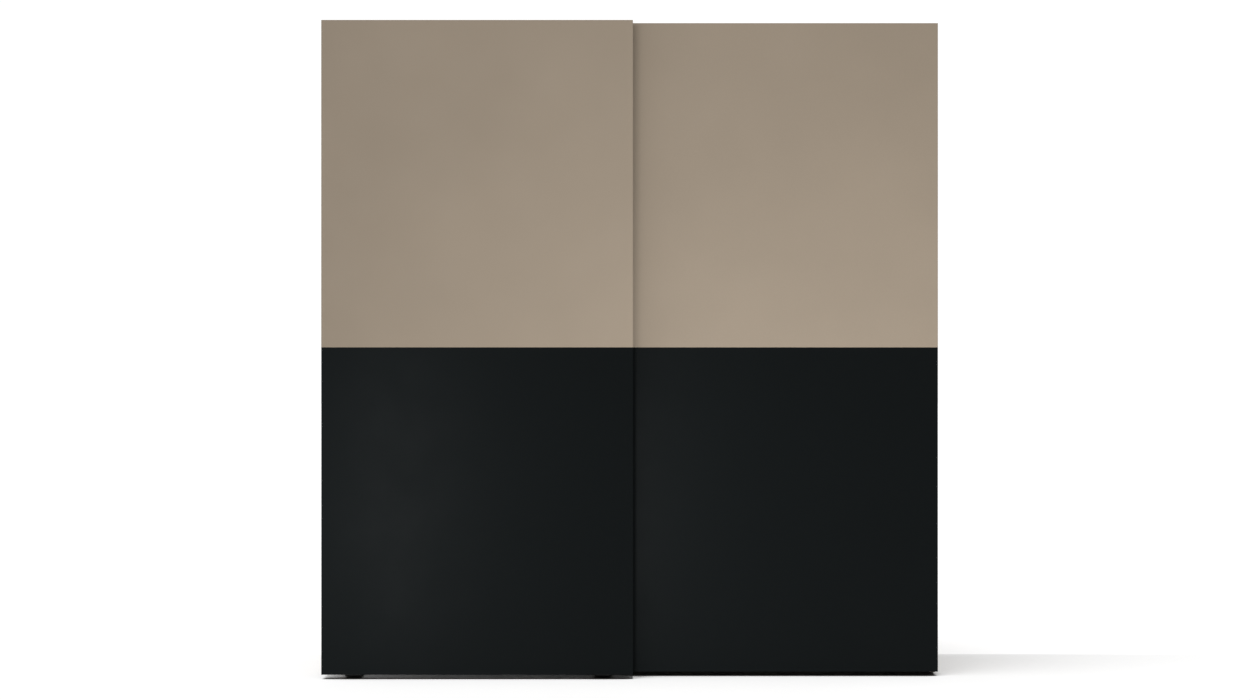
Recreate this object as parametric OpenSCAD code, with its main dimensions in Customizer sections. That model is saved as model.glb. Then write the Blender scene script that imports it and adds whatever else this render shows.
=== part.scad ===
// Two-door sliding wardrobe, 203 cm wide, 216 cm high and 64 cm deep.
// Its doors hang in front of the carcass and cover all of it.
// X runs to the right as seen from the front, Y to the back and Z up.
// The origin is on the floor, at the middle of the wardrobe's footprint.
// The left door hangs in front and the right door behind it. Both run on one double track.

/* [Overall] */
// Width across both closed doors
wardrobe_w = 2030; // [1700:10:2200]
// Depth from the front door's face to the back edge of the carcass
wardrobe_d = 640; // [600:10:760]
// Height of both doors' top edge above the floor
door_top = 2160; // [2100:10:2400]

/* [Doors] */
// Gap between the doors' bottom edge and the floor
floor_gap = 15; // [14:1:20]
// Thickness of the door panels
door_t = 28; // [22:1:32]
// Distance from the front door's face back to the rear door's face
door_offset = 77; // [60:1:90]
// How far the closed doors overlap at the middle
door_overlap = 12; // [6:1:40]
// Clear gap from the rear door's back to the carcass
carcass_clearance = 13; // [13:1:18]

/* [Carcass] */
// How far each side of the carcass stands in from the door's outer edge
carcass_inset = 4; // [0:1:10]
// Thickness of the sides, partition, tops, bottoms and shelves
board_t = 19; // [16:1:22]
// Thickness of the hardboard back sheets
back_t = 3; // [3:0.5:5]
// Height of the bottom panels' underside above the floor
bottom_z = 71; // [71:1:90]
// How far the doors stand up above the top panels, to cover the track
track_cover = 60; // [60:1:70]

/* [Interior] */
// Height of both hat shelves' underside
hat_shelf_z = 1850; // [1700:10:1900]
// Height of the middle shelf's underside
middle_shelf_z = 850; // [700:10:1000]
// Height of the lower shelf's underside
lower_shelf_z = 470; // [300:10:550]
// Distance from a hat shelf's underside down to the middle of the rail
rail_drop = 60; // [45:5:90]

/* [Running gear] */
// Radius at which a wheel rolls on its rail
wheel_tread_r = 14; // [12:1:15]
// Distance from a door's side edge to the middle of its hanger
hanger_inset = 130; // [120:5:200]
// Distance from a door's side edge to the middle of its guide bracket
guide_inset = 100; // [60:5:200]

/* [Hidden] */
$fn = 48;

// Colours
taupe = "#9a8d7b";
anthracite = "#1e2323";
linen = "#c9c1b4";
hardboard = "#b9b0a2";
steel = "#a9acae";
aluminium = "#c4c6c8";
black_plastic = "#2a2b2c";
white_plastic = "#dcdcd8";

// Fits
touch = 0.05;      // between a fastener and its hole
running = 0.05;    // radial, between a wheel and its axle
apart = 0.3;       // between faces that roll past each other

// The two doors, used as an index into the lists below
LEFT = 0;
RIGHT = 1;

// Door places
door_w = (wardrobe_w + door_overlap) / 2;
door_h = door_top - floor_gap;
door_split_z = floor_gap + door_h / 2;
front_y = -wardrobe_d / 2;
door_x = [-wardrobe_w / 2, wardrobe_w / 2 - door_w];
door_face_y = [front_y, front_y + door_offset];
door_back_y = [for (y = door_face_y) y + door_t];

// Carcass places
carcass_front = door_back_y[RIGHT] + carcass_clearance;
carcass_back = wardrobe_d / 2;
carcass_top = door_top - track_cover;
outer_x = wardrobe_w / 2 - carcass_inset;
inner_x = outer_x - board_t;
half_t = board_t / 2;
bay_w = inner_x - half_t;
foot_h = 8;
// Left end of each bay's clear width
bay_x = [-inner_x, half_t];

// Back sheets, each in a groove near the carcass's back edge
groove_depth = 6;
groove_play = 0.2;
back_y = carcass_back - 12;
back_rest = groove_depth - 0.5;

// Plinth, set back behind the bottom guide track
plinth_t = 16;
plinth_y = carcass_front + 50;
notch_back = plinth_y + plinth_t + 4;

// Shelves and their supports
shelf_side_gap = 1;
shelf_front_y = carcass_front + 20;
shelf_back_y = back_y - 3;
pin_r = 2.5;
pin_depth = 9;
pin_out = 9;
pin_pitch = 32;
pin_ys = [carcass_front + 57, carcass_back - 70];
bay_shelves = [[hat_shelf_z], [hat_shelf_z, middle_shelf_z, lower_shelf_z]];

// Hanging rails, oval tube
rail_h = 30;
rail_w = 15;
rail_wall = 1.2;
rail_y = (carcass_front + back_y) / 2;
rail_z = hat_shelf_z - rail_drop;
socket_t = 4;
socket_depth = 16;
socket_wall = 3;
socket_screw_dz = 24;

// Cam fittings
cam_r = 7.5;
cam_h = 12.5;
cam_inset = 24;
cam_bolt_r = 3;
cam_bolt_in_side = 9;
cam_ys = [[carcass_front + 85, carcass_back - 100], [carcass_front + 117, carcass_back - 132]];
top_cam_z = carcass_top - half_t;
bottom_cam_z = bottom_z + half_t;

// Feet
foot_r = 9;
foot_stem_r = 3;
foot_stem = 22;
side_foot_ys = [carcass_front + 45, carcass_back - 45];
partition_foot_ys = [notch_back + 40, carcass_back - 45];

// Wall brackets on top, at the back edge
wall_bracket_w = 30;
wall_bracket_leg = 42;
wall_bracket_t = 2;
wall_bracket_x = 600;
wall_hole_r = 3.25;
wall_hole_z = carcass_top + 28;

// Top track: a base with two beaded rails, one for each door
track_end = outer_x - 6;
track_base_t = 3;
track_y = [carcass_front + 2, carcass_front + 102];
bead_r = 3;
bead_z = carcass_top + 14;
door_rail_y = [carcass_front + 78, carcass_front + 24];
track_lip_h = 9;

// Wheels
wheel_r = wheel_tread_r + 3;
wheel_w = 12;
wheel_z = bead_z + bead_r + apart + wheel_tread_r;
groove_r = bead_r + 0.4;
axle_r = 3;
axle_head_r = 4.5;
wheel_gap = 84;
wheel_side_gap = 2;

// Hangers and carriages
carriage_w = 124;
carriage_plate_t = 4;
carriage_flange_t = 3;
carriage_reach = 14;
carriage_plate_drop = 11;
hanger_t = 3;
hanger_leg = 78;
arm_gap = 1;
gusset_t = 4;
gusset_h = 46;
gusset_reach = door_offset - door_t - 18;
arm_z = [door_top + arm_gap, wheel_z + wheel_r + arm_gap + carriage_flange_t];

// Bottom guide: a double channel under the bottom panels, one channel for each door
roller_r = 7.2;
roller_h = 14;
channel_w = 2 * (roller_r + apart);
channel_wall = 2;
channel_drop = 23;
guide_front = carcass_front + 0.5;
guide_y = [
    guide_front + 2 * channel_wall + 1.5 * channel_w,
    guide_front + channel_wall + channel_w / 2
];
guide_end = inner_x - 7;
guide_top_t = 2.5;
roller_z = bottom_z - 25;
bracket_w = 50;
bracket_t = 3;
bracket_top_z = bottom_z + 30;
// The front door's bracket passes under the rear door, and the rear door's stays behind its own back
bracket_z = [floor_gap - 9, roller_z - 8];
bracket_end = [guide_y[LEFT] + 9, guide_y[RIGHT] + 7];
guide_pin_r = 3;
guide_pin_head_r = 4.5;

// Door fittings
stiffener_w = 12;
stiffener_depth = 10;
stiffener_inset = 60;
stiffener_end_gap = 30;
plate_w = 120;
plate_h = 44;
plate_t = 2;
plate_spacing = 300;
screw_r = 2;
screw_len = 15;
head_r = 4;
head_h = 2.2;
brush_base_w = 10;
brush_end_gap = 60;
brush_clear = 1.5;
brush_pile = 12;

function hanger_xs(d) = [door_x[d] + hanger_inset, door_x[d] + door_w - hanger_inset];
function guide_xs(d) = [door_x[d] + guide_inset, door_x[d] + door_w - guide_inset];
function wheel_xs(d) = [for (x = hanger_xs(d), s = [-1, 1]) x + s * wheel_gap / 2];
function plate_xs(d) = [for (i = [-1:1]) door_x[d] + door_w / 2 + i * plate_spacing];
function hanger_screws(d) =
    [for (x = hanger_xs(d), sx = [-1, 1], z = [22, 52]) [x + sx * 40, door_top - z]];
function bracket_screws(d) =
    [for (x = guide_xs(d), sx = [-1, 1]) [x + sx * 14, bracket_top_z - 12]];
function plate_screws(d) =
    [for (x = plate_xs(d), sx = [-1, 1], sz = [-1, 1]) [x + sx * 45, door_split_z + sz * 13]];
function carriage_bolts(d) = [for (x = hanger_xs(d), s = [-1, 1]) x + s * 12];

// A box from its lowest corner to its highest corner
module block(low, high) {
    translate(low) cube(high - low);
}

// A cylinder along +X, +Y or -Y from a point
module rod_x(at, r, len) {
    translate(at) rotate([0, 90, 0]) cylinder(r = r, h = len);
}

module rod_y(at, r, len) {
    translate(at) rotate([-90, 0, 0]) cylinder(r = r, h = len);
}

module rod_z(at, r, len) {
    translate(at) cylinder(r = r, h = len);
}

// An upright oval, in the plane of the sketch
module oval(w, h) {
    square([w, h - w], center = true);
    for (s = [-1, 1]) translate([0, s * (h - w) / 2]) circle(d = w);
}

// ---- Carcass ----

// The holes in one face of an upright: shelf pins, cam bolts, socket screws and the back groove.
// face_x is the face, and dir points into the board.
module upright_cuts(face_x, dir, bay) {
    start = dir > 0 ? face_x : face_x - pin_depth - touch;
    bolt_start = dir > 0 ? face_x : face_x - cam_bolt_in_side - touch;
    groove_start = dir > 0 ? face_x : face_x - groove_depth;
    for (z = bay_shelves[bay], y = pin_ys, i = [-2:2])
        rod_x([start, y, z - pin_r + i * pin_pitch], pin_r, pin_depth + touch);
    for (z = [top_cam_z, bottom_cam_z], y = cam_ys[bay])
        rod_x([bolt_start, y, z], cam_bolt_r + touch, cam_bolt_in_side + touch);
    for (s = [-1, 1])
        rod_x([start, rail_y, rail_z + s * socket_screw_dz], screw_r + touch, pin_depth + touch);
    block([groove_start, back_y - groove_play, bottom_z],
        [groove_start + groove_depth, back_y + back_t + groove_play, carcass_top]);
}

module foot_holes(x, ys) {
    for (y = ys) rod_z([x, y, foot_h], foot_stem_r + touch, foot_stem + touch);
}

module left_side_panel() {
    color(taupe) difference() {
        block([-outer_x, carcass_front, foot_h], [-inner_x, carcass_back, carcass_top]);
        upright_cuts(-inner_x, -1, LEFT);
        foot_holes(-inner_x - half_t, side_foot_ys);
    }
}

module right_side_panel() {
    color(taupe) difference() {
        block([inner_x, carcass_front, foot_h], [outer_x, carcass_back, carcass_top]);
        upright_cuts(inner_x, 1, RIGHT);
        foot_holes(inner_x + half_t, side_foot_ys);
    }
}

// Notched at the front foot for the plinth and the bottom guide track
module centre_partition() {
    color(linen) difference() {
        block([-half_t, carcass_front, foot_h], [half_t, carcass_back, carcass_top]);
        block([-half_t, carcass_front, foot_h], [half_t, notch_back, bottom_z]);
        upright_cuts(-half_t, 1, LEFT);
        upright_cuts(half_t, -1, RIGHT);
        foot_holes(0, partition_foot_ys);
    }
}

// Cam pockets and bolt bores at both ends of a top or bottom panel
module cam_cuts(bay, pocket_z, bolt_z) {
    for (y = cam_ys[bay]) {
        for (x = [bay_x[bay] + cam_inset, bay_x[bay] + bay_w - cam_inset])
            rod_z([x, y, pocket_z], cam_r + touch, cam_h + touch);
        rod_x([bay_x[bay], y, bolt_z], cam_bolt_r + touch, cam_inset);
        rod_x([bay_x[bay] + bay_w - cam_inset, y, bolt_z], cam_bolt_r + touch, cam_inset);
    }
}

function track_screw_xs(bay) = [for (i = [0:3]) bay_x[bay] + bay_w * (0.14 + 0.24 * i)];
track_screw_ys = [carcass_front + 51, carcass_front + 95];
track_screw_len = 15;
guide_screw_len = 14;

module top_panel(bay) {
    color(linen) difference() {
        block([bay_x[bay], carcass_front, carcass_top - board_t],
            [bay_x[bay] + bay_w, carcass_back, carcass_top]);
        cam_cuts(bay, carcass_top - cam_h, top_cam_z);
        block([bay_x[bay], back_y - groove_play, carcass_top - board_t],
            [bay_x[bay] + bay_w, back_y + back_t + groove_play,
                carcass_top - board_t + groove_depth]);
        for (x = track_screw_xs(bay), y = track_screw_ys)
            rod_z([x, y, carcass_top - track_screw_len], screw_r + touch, track_screw_len);
        for (s = [-1, 1])
            rod_z([(bay == LEFT ? -1 : 1) * wall_bracket_x + s * 8, carcass_back - 26,
                carcass_top - screw_len], screw_r + touch, screw_len);
    }
}

module bottom_panel(bay) {
    color(linen) difference() {
        block([bay_x[bay], carcass_front, bottom_z],
            [bay_x[bay] + bay_w, carcass_back, bottom_z + board_t]);
        cam_cuts(bay, bottom_z - touch, bottom_cam_z);
        block([bay_x[bay], back_y - groove_play, bottom_z + board_t - groove_depth],
            [bay_x[bay] + bay_w, back_y + back_t + groove_play, bottom_z + board_t]);
        for (x = track_screw_xs(bay), d = [LEFT, RIGHT])
            rod_z([x, guide_y[d], bottom_z], screw_r + touch, guide_screw_len);
    }
}

module left_top_panel() top_panel(LEFT);
module right_top_panel() top_panel(RIGHT);
module left_bottom_panel() bottom_panel(LEFT);
module right_bottom_panel() bottom_panel(RIGHT);

module front_plinth() {
    color(taupe) block([-inner_x, plinth_y, foot_h], [inner_x, plinth_y + plinth_t, bottom_z]);
}

// A bay's back is two sheets that meet in a joint strip
strip_web = 1.6;
strip_flange = 12;
strip_skin = 1;

module back_sheet(x0, x1) {
    color(hardboard) block([x0, back_y, bottom_z + board_t - back_rest],
        [x1, back_y + back_t, carcass_top - board_t + back_rest]);
}

function bay_mid(bay) = bay_x[bay] + bay_w / 2;

module first_sheet(bay) back_sheet(bay_x[bay] - back_rest, bay_mid(bay) - strip_web / 2 - touch);
module second_sheet(bay)
    back_sheet(bay_mid(bay) + strip_web / 2 + touch, bay_x[bay] + bay_w + back_rest);

module left_outer_back_panel() first_sheet(LEFT);
module left_inner_back_panel() second_sheet(LEFT);
module right_inner_back_panel() first_sheet(RIGHT);
module right_outer_back_panel() second_sheet(RIGHT);

module back_joint_strips() {
    color(white_plastic) for (bay = [LEFT, RIGHT]) {
        translate([bay_mid(bay), back_y, bottom_z + board_t])
            linear_extrude(carcass_top - bottom_z - 2 * board_t) {
                translate([-strip_web / 2, -strip_skin - touch])
                    square([strip_web, back_t + 2 * (strip_skin + touch)]);
                for (y = [-strip_skin - touch, back_t + touch])
                    translate([-strip_flange, y]) square([2 * strip_flange, strip_skin]);
            }
    }
}

// ---- Interior ----

module shelf(bay, z) {
    color(linen) block([bay_x[bay] + shelf_side_gap, shelf_front_y, z],
        [bay_x[bay] + bay_w - shelf_side_gap, shelf_back_y, z + board_t]);
}

module left_hat_shelf() shelf(LEFT, hat_shelf_z);
module right_hat_shelf() shelf(RIGHT, hat_shelf_z);
module right_middle_shelf() shelf(RIGHT, middle_shelf_z);
module right_lower_shelf() shelf(RIGHT, lower_shelf_z);

module hanging_rail(bay) {
    color(steel) translate([bay_x[bay] + socket_t + 1, rail_y, rail_z])
        rotate([90, 0, 90]) linear_extrude(bay_w - 2 * (socket_t + 1)) difference() {
            oval(rail_w, rail_h);
            oval(rail_w - 2 * rail_wall, rail_h - 2 * rail_wall);
        }
}

module left_hanging_rail() hanging_rail(LEFT);
module right_hanging_rail() hanging_rail(RIGHT);

// One socket, its plate against a board at x = 0 and its cup reaching +X
module rail_socket() {
    rotate([90, 0, 90]) difference() {
        union() {
            linear_extrude(socket_t) oval(rail_w + 14, rail_h + 34);
            linear_extrude(socket_depth)
                oval(rail_w + 2 * socket_wall, rail_h + 2 * socket_wall);
        }
        translate([0, 0, socket_t]) linear_extrude(socket_depth) oval(rail_w + apart, rail_h + apart);
        for (s = [-1, 1]) translate([0, s * socket_screw_dz, 0]) cylinder(r = screw_r + touch, h = socket_t);
    }
}

module hanging_rail_sockets() {
    color(steel) for (bay = [LEFT, RIGHT]) {
        translate([bay_x[bay], rail_y, rail_z]) rail_socket();
        translate([bay_x[bay] + bay_w, rail_y, rail_z]) rotate([0, 0, 180]) rail_socket();
    }
}

// Each support is a pin with a collar, pushed into a row hole
module shelf_support(x, y, z, dir) {
    translate([x, y, z]) rotate([0, dir * 90, 0]) {
        translate([0, 0, -pin_depth]) cylinder(r = pin_r - touch, h = pin_depth + pin_out);
        cylinder(r = pin_r + 1, h = shelf_side_gap - touch);
    }
}

module shelf_supports() {
    color(steel) for (bay = [LEFT, RIGHT], z = bay_shelves[bay], y = pin_ys) {
        shelf_support(bay_x[bay], y, z - pin_r, 1);
        shelf_support(bay_x[bay] + bay_w, y, z - pin_r, -1);
    }
}

// A cam in its pocket, with a cross slot at slot_z, and the bolt that it draws in
module cam_fitting(x, y, pocket_z, slot_z, bolt_z, dir) {
    bolt_start = 4;
    bolt_len = cam_inset + cam_bolt_in_side - bolt_start;
    socket_len = 6;
    difference() {
        rod_z([x, y, pocket_z], cam_r, cam_h);
        rod_x([dir > 0 ? x + bolt_start - touch : x - bolt_start - socket_len + touch, y, bolt_z],
            cam_bolt_r + touch, socket_len);
        translate([x, y, slot_z]) {
            translate([-4, -0.6, 0]) cube([8, 1.2, 2]);
            translate([-0.6, -4, 0]) cube([1.2, 8, 2]);
        }
    }
    rod_x([dir > 0 ? x + bolt_start : x - bolt_start - bolt_len, y, bolt_z], cam_bolt_r, bolt_len);
}

// Pocket, slot and bolt heights, for the top panels and for the bottom panels
cam_levels = [
    [carcass_top - cam_h, carcass_top - 2, top_cam_z],
    [bottom_z, bottom_z, bottom_cam_z]
];

module cam_fittings() {
    color(steel) for (bay = [LEFT, RIGHT], y = cam_ys[bay], level = cam_levels) {
        cam_fitting(bay_x[bay] + cam_inset, y, level[0], level[1], level[2], -1);
        cam_fitting(bay_x[bay] + bay_w - cam_inset, y, level[0], level[1], level[2], 1);
    }
}

// ---- Standing and fixing ----

module levelling_foot(x, y) {
    rod_z([x, y, 2], foot_r, foot_h - 2 - touch);
    translate([x, y, 0]) cylinder(r1 = foot_r - 1.5, r2 = foot_r, h = 2);
    rod_z([x, y, foot_h - 2], foot_stem_r, foot_stem);
}

module levelling_feet() {
    color(black_plastic) {
        for (x = [-inner_x - half_t, inner_x + half_t], y = side_foot_ys) levelling_foot(x, y);
        for (y = partition_foot_ys) levelling_foot(0, y);
    }
}

// Angle brackets against tipping, screwed to the top panels and then to the wall
module wall_brackets() {
    color(steel) for (x = [-wall_bracket_x, wall_bracket_x]) difference() {
        union() {
            block([x - wall_bracket_w / 2, carcass_back - wall_bracket_leg, carcass_top],
                [x + wall_bracket_w / 2, carcass_back, carcass_top + wall_bracket_t]);
            block([x - wall_bracket_w / 2, carcass_back - wall_bracket_t, carcass_top],
                [x + wall_bracket_w / 2, carcass_back, carcass_top + wall_bracket_leg]);
        }
        rod_y([x, carcass_back - wall_bracket_t, wall_hole_z], wall_hole_r, wall_bracket_t);
        for (s = [-1, 1])
            rod_z([x + s * 8, carcass_back - 26, carcass_top], screw_r + touch, wall_bracket_t);
    }
}

// ---- Track and guide ----

module top_track() {
    base_z = carcass_top + track_base_t;
    color(aluminium) difference() {
        union() {
            block([-track_end, track_y[0], carcass_top], [track_end, track_y[1], base_z]);
            for (y = door_rail_y) {
                block([-track_end, y - 1.5, carcass_top], [track_end, y + 1.5, bead_z]);
                rod_x([-track_end, y, bead_z], bead_r, 2 * track_end);
            }
            for (y = [track_y[0], track_y[1] - 2])
                block([-track_end, y, carcass_top], [track_end, y + 2, carcass_top + track_lip_h]);
        }
        for (bay = [LEFT, RIGHT], x = track_screw_xs(bay), y = track_screw_ys) {
            rod_z([x, y, carcass_top], screw_r + touch, track_base_t);
            translate([x, y, base_z - head_h])
                cylinder(r1 = screw_r + touch, r2 = head_r + touch, h = head_h);
        }
    }
}

module bottom_guide_track() {
    walls = [for (i = [0:2]) guide_front + i * (channel_wall + channel_w)];
    plate_z = bottom_z - guide_top_t;
    color(aluminium) difference() {
        union() {
            block([-guide_end, guide_front, plate_z],
                [guide_end, walls[2] + channel_wall, bottom_z]);
            for (y = walls)
                block([-guide_end, y, bottom_z - channel_drop], [guide_end, y + channel_wall, bottom_z]);
        }
        for (bay = [LEFT, RIGHT], x = track_screw_xs(bay), d = [LEFT, RIGHT]) {
            rod_z([x, guide_y[d], plate_z], screw_r + touch, guide_top_t);
            translate([x, guide_y[d], plate_z])
                cylinder(r1 = head_r + touch, r2 = screw_r + touch, h = head_h);
        }
    }
}

// Stops astride both rails at both ends, one millimetre clear of the carriages at their limits
stop_gap = 1;
stop_len = 32;
stop_half_w = 12;
stop_h = 44;

module track_end_stops() {
    reach = wardrobe_w / 2 - hanger_inset + carriage_w / 2 + stop_gap;
    color(black_plastic) for (y = door_rail_y, side = [0, 1]) mirror([side, 0, 0]) difference() {
        block([reach, y - stop_half_w, carcass_top + track_base_t],
            [reach + stop_len, y + stop_half_w, carcass_top + stop_h]);
        block([reach, y - 1.5 - touch, carcass_top], [reach + stop_len, y + 1.5 + touch, bead_z]);
        rod_x([reach, y, bead_z], bead_r + touch, stop_len);
    }
}

module countersunk_up(x, y, top_z, len) {
    rod_z([x, y, top_z - len], screw_r, len - head_h + touch);
    translate([x, y, top_z - head_h]) cylinder(r1 = screw_r, r2 = head_r, h = head_h);
}

module carcass_screws() {
    color(steel) {
        for (bay = [LEFT, RIGHT], x = track_screw_xs(bay)) {
            for (y = track_screw_ys)
                countersunk_up(x, y, carcass_top + track_base_t, track_screw_len);
            for (d = [LEFT, RIGHT]) translate([x, guide_y[d], bottom_z - guide_top_t])
                mirror([0, 0, 1]) countersunk_up(0, 0, 0, guide_screw_len);
        }
        for (bay = [LEFT, RIGHT], s = [-1, 1]) {
            x = bay_x[bay] + socket_t;
            z = rail_z + s * socket_screw_dz;
            rod_x([x - socket_t - pin_depth + 1, rail_y, z], screw_r, pin_depth + socket_t - 1);
            rod_x([x, rail_y, z], head_r, head_h);
            rod_x([bay_x[bay] + bay_w - socket_t, rail_y, z], screw_r, pin_depth + socket_t - 1);
            rod_x([bay_x[bay] + bay_w - socket_t - head_h, rail_y, z], head_r, head_h);
        }
        for (x = [-wall_bracket_x, wall_bracket_x], s = [-1, 1]) {
            rod_z([x + s * 8, carcass_back - 26, carcass_top - screw_len + 1], screw_r,
                screw_len - 1 + wall_bracket_t);
            rod_z([x + s * 8, carcass_back - 26, carcass_top + wall_bracket_t], head_r, head_h);
        }
    }
}

// ---- Doors ----

function stiffener_xs(d) =
    [door_x[d] + stiffener_inset, door_x[d] + door_w - stiffener_inset - stiffener_w];

// Everything that is cut into a door's back: two stiffener grooves and the screw holes
module door_cuts(d) {
    for (x = stiffener_xs(d))
        block([x - touch, door_back_y[d] - stiffener_depth - touch, floor_gap + stiffener_end_gap - touch],
            [x + stiffener_w + touch, door_back_y[d], door_top - stiffener_end_gap + touch]);
    for (p = concat(hanger_screws(d), bracket_screws(d), plate_screws(d)))
        rod_y([p[0], door_back_y[d] - screw_len, p[1]], screw_r + touch, screw_len);
}

module door_panel(d, z0, z1) {
    difference() {
        block([door_x[d], door_face_y[d], z0], [door_x[d] + door_w, door_back_y[d], z1]);
        door_cuts(d);
    }
}

module upper_panel(d) color(taupe) door_panel(d, door_split_z, door_top);
module lower_panel(d) color(anthracite) door_panel(d, floor_gap, door_split_z);

// U-shaped profiles let into the door's back, across the joint between its two panels
module stiffeners(d) {
    color(aluminium) for (x = stiffener_xs(d)) difference() {
        block([x, door_back_y[d] - stiffener_depth, floor_gap + stiffener_end_gap],
            [x + stiffener_w, door_back_y[d], door_top - stiffener_end_gap]);
        block([x + 2, door_back_y[d] - stiffener_depth + 2, floor_gap + stiffener_end_gap],
            [x + stiffener_w - 2, door_back_y[d], door_top - stiffener_end_gap]);
    }
}

module joint_plates(d) {
    color(steel) difference() {
        for (x = plate_xs(d))
            block([x - plate_w / 2, door_back_y[d], door_split_z - plate_h / 2],
                [x + plate_w / 2, door_back_y[d] + plate_t, door_split_z + plate_h / 2]);
        for (p = plate_screws(d))
            rod_y([p[0], door_back_y[d], p[1]], screw_r + touch, plate_t);
    }
}

// A bent plate: one leg on the door's back and an arm that reaches over to the carriage.
// The front door's arms are longer, and a gusset at each side stiffens their bend.
module hangers(d) {
    arm_end = door_rail_y[d] + carriage_reach;
    color(steel) difference() {
        for (x = hanger_xs(d)) {
            block([x - carriage_w / 2, door_back_y[d], door_top - hanger_leg],
                [x + carriage_w / 2, door_back_y[d] + hanger_t, arm_z[d] + hanger_t]);
            block([x - carriage_w / 2, door_back_y[d], arm_z[d]],
                [x + carriage_w / 2, arm_end, arm_z[d] + hanger_t]);
            if (d == LEFT) for (side = [x - carriage_w / 2, x + carriage_w / 2 - gusset_t])
                translate([side, door_back_y[d] + hanger_t, arm_z[d]]) rotate([90, 0, 90])
                    linear_extrude(gusset_t) polygon([[0, 0], [gusset_reach, 0], [0, -gusset_h]]);
        }
        for (p = hanger_screws(d))
            rod_y([p[0], door_back_y[d], p[1]], screw_r + touch, hanger_t);
        for (x = carriage_bolts(d)) {
            rod_z([x, door_rail_y[d] + 5, arm_z[d]], screw_r + touch, hanger_t);
            translate([x, door_rail_y[d] + 5, arm_z[d] + hanger_t - head_h])
                cylinder(r1 = screw_r + touch, r2 = head_r + touch, h = head_h);
        }
    }
}

plate_y = [for (y = door_rail_y) y - wheel_w / 2 - wheel_side_gap - carriage_plate_t];

// An angle that carries two wheels on one side of its upright plate
module carriages(d) {
    color(black_plastic) difference() {
        for (x = hanger_xs(d)) {
            block([x - carriage_w / 2, plate_y[d], wheel_z - carriage_plate_drop],
                [x + carriage_w / 2, plate_y[d] + carriage_plate_t, arm_z[d]]);
            block([x - carriage_w / 2, plate_y[d], arm_z[d] - carriage_flange_t],
                [x + carriage_w / 2, door_rail_y[d] + carriage_reach, arm_z[d]]);
        }
        for (x = wheel_xs(d)) rod_y([x, plate_y[d], wheel_z], axle_r + touch, carriage_plate_t);
        for (x = carriage_bolts(d))
            rod_z([x, door_rail_y[d] + 5, arm_z[d] - carriage_flange_t], screw_r + touch,
                carriage_flange_t);
    }
}

// The wheels' axles and the guide rollers' pins
module axles(d) {
    plate_back = plate_y[d] + carriage_plate_t;
    wheel_back = door_rail_y[d] + wheel_w / 2;
    color(steel) {
        for (x = wheel_xs(d)) {
            rod_y([x, plate_y[d], wheel_z], axle_r, wheel_back + 1.8 - plate_y[d]);
            rod_y([x, plate_y[d] - 1.5, wheel_z], axle_head_r, 1.5);
            rod_y([x, plate_back, wheel_z], axle_head_r, wheel_side_gap - apart);
            rod_y([x, wheel_back + apart, wheel_z], axle_head_r, 1.5);
        }
        for (x = guide_xs(d)) {
            leg_top = bracket_z[d] + bracket_t;
            rod_z([x, guide_y[d], bracket_z[d]], guide_pin_r, roller_z + roller_h + 1.5 - bracket_z[d]);
            rod_z([x, guide_y[d], leg_top], guide_pin_head_r, roller_z - apart - leg_top);
            rod_z([x, guide_y[d], roller_z + roller_h + apart], guide_pin_head_r, 1.5);
        }
    }
}

// A wheel with a round groove that sits astride the rail's bead
module wheel(d, i) {
    color(white_plastic) translate([wheel_xs(d)[i], door_rail_y[d], wheel_z]) rotate([90, 0, 0])
        difference() {
            cylinder(r = wheel_r, h = wheel_w, center = true);
            rotate_extrude() translate([wheel_tread_r + groove_r, 0]) circle(r = groove_r);
            cylinder(r = axle_r + running, h = wheel_w, center = true);
            for (s = [-1, 1]) translate([0, 0, s * (wheel_w / 2 - 0.75)]) difference() {
                cylinder(r = wheel_tread_r - 3, h = 1.5, center = true);
                cylinder(r = axle_head_r + 0.5, h = 1.5, center = true);
            }
        }
}

module guide_brackets(d) {
    color(black_plastic) difference() {
        for (x = guide_xs(d)) {
            block([x - bracket_w / 2, door_back_y[d], bracket_z[d]],
                [x + bracket_w / 2, door_back_y[d] + bracket_t, bracket_top_z]);
            block([x - bracket_w / 2, door_back_y[d], bracket_z[d]],
                [x + bracket_w / 2, bracket_end[d], bracket_z[d] + bracket_t]);
        }
        for (p = bracket_screws(d))
            rod_y([p[0], door_back_y[d], p[1]], screw_r + touch, bracket_t);
        for (x = guide_xs(d)) rod_z([x, guide_y[d], bracket_z[d]], guide_pin_r + touch, bracket_t);
    }
}

module guide_roller(d, i) {
    color(white_plastic) translate([guide_xs(d)[i], guide_y[d], roller_z]) difference() {
        cylinder(r = roller_r, h = roller_h);
        cylinder(r = guide_pin_r + running, h = roller_h);
    }
}

// A screw in the door's back, with its head on a plate of thickness t
module back_screw(d, p, t) {
    rod_y([p[0], door_back_y[d] - screw_len + 1, p[1]], screw_r, screw_len - 1 + t);
    rod_y([p[0], door_back_y[d] + t, p[1]], head_r, head_h);
}

module door_screws(d) {
    color(steel) {
        for (p = hanger_screws(d)) back_screw(d, p, hanger_t);
        for (p = bracket_screws(d)) back_screw(d, p, bracket_t);
        for (p = plate_screws(d)) back_screw(d, p, plate_t);
        for (x = carriage_bolts(d)) {
            bottom = arm_z[d] - carriage_flange_t - 3;
            translate([x, door_rail_y[d] + 5, 0]) {
                countersunk_up(0, 0, arm_z[d] + hanger_t, arm_z[d] + hanger_t - bottom);
                translate([0, 0, bottom]) cylinder(r = 3.5, h = 3, $fn = 6);
            }
        }
    }
}

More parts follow.
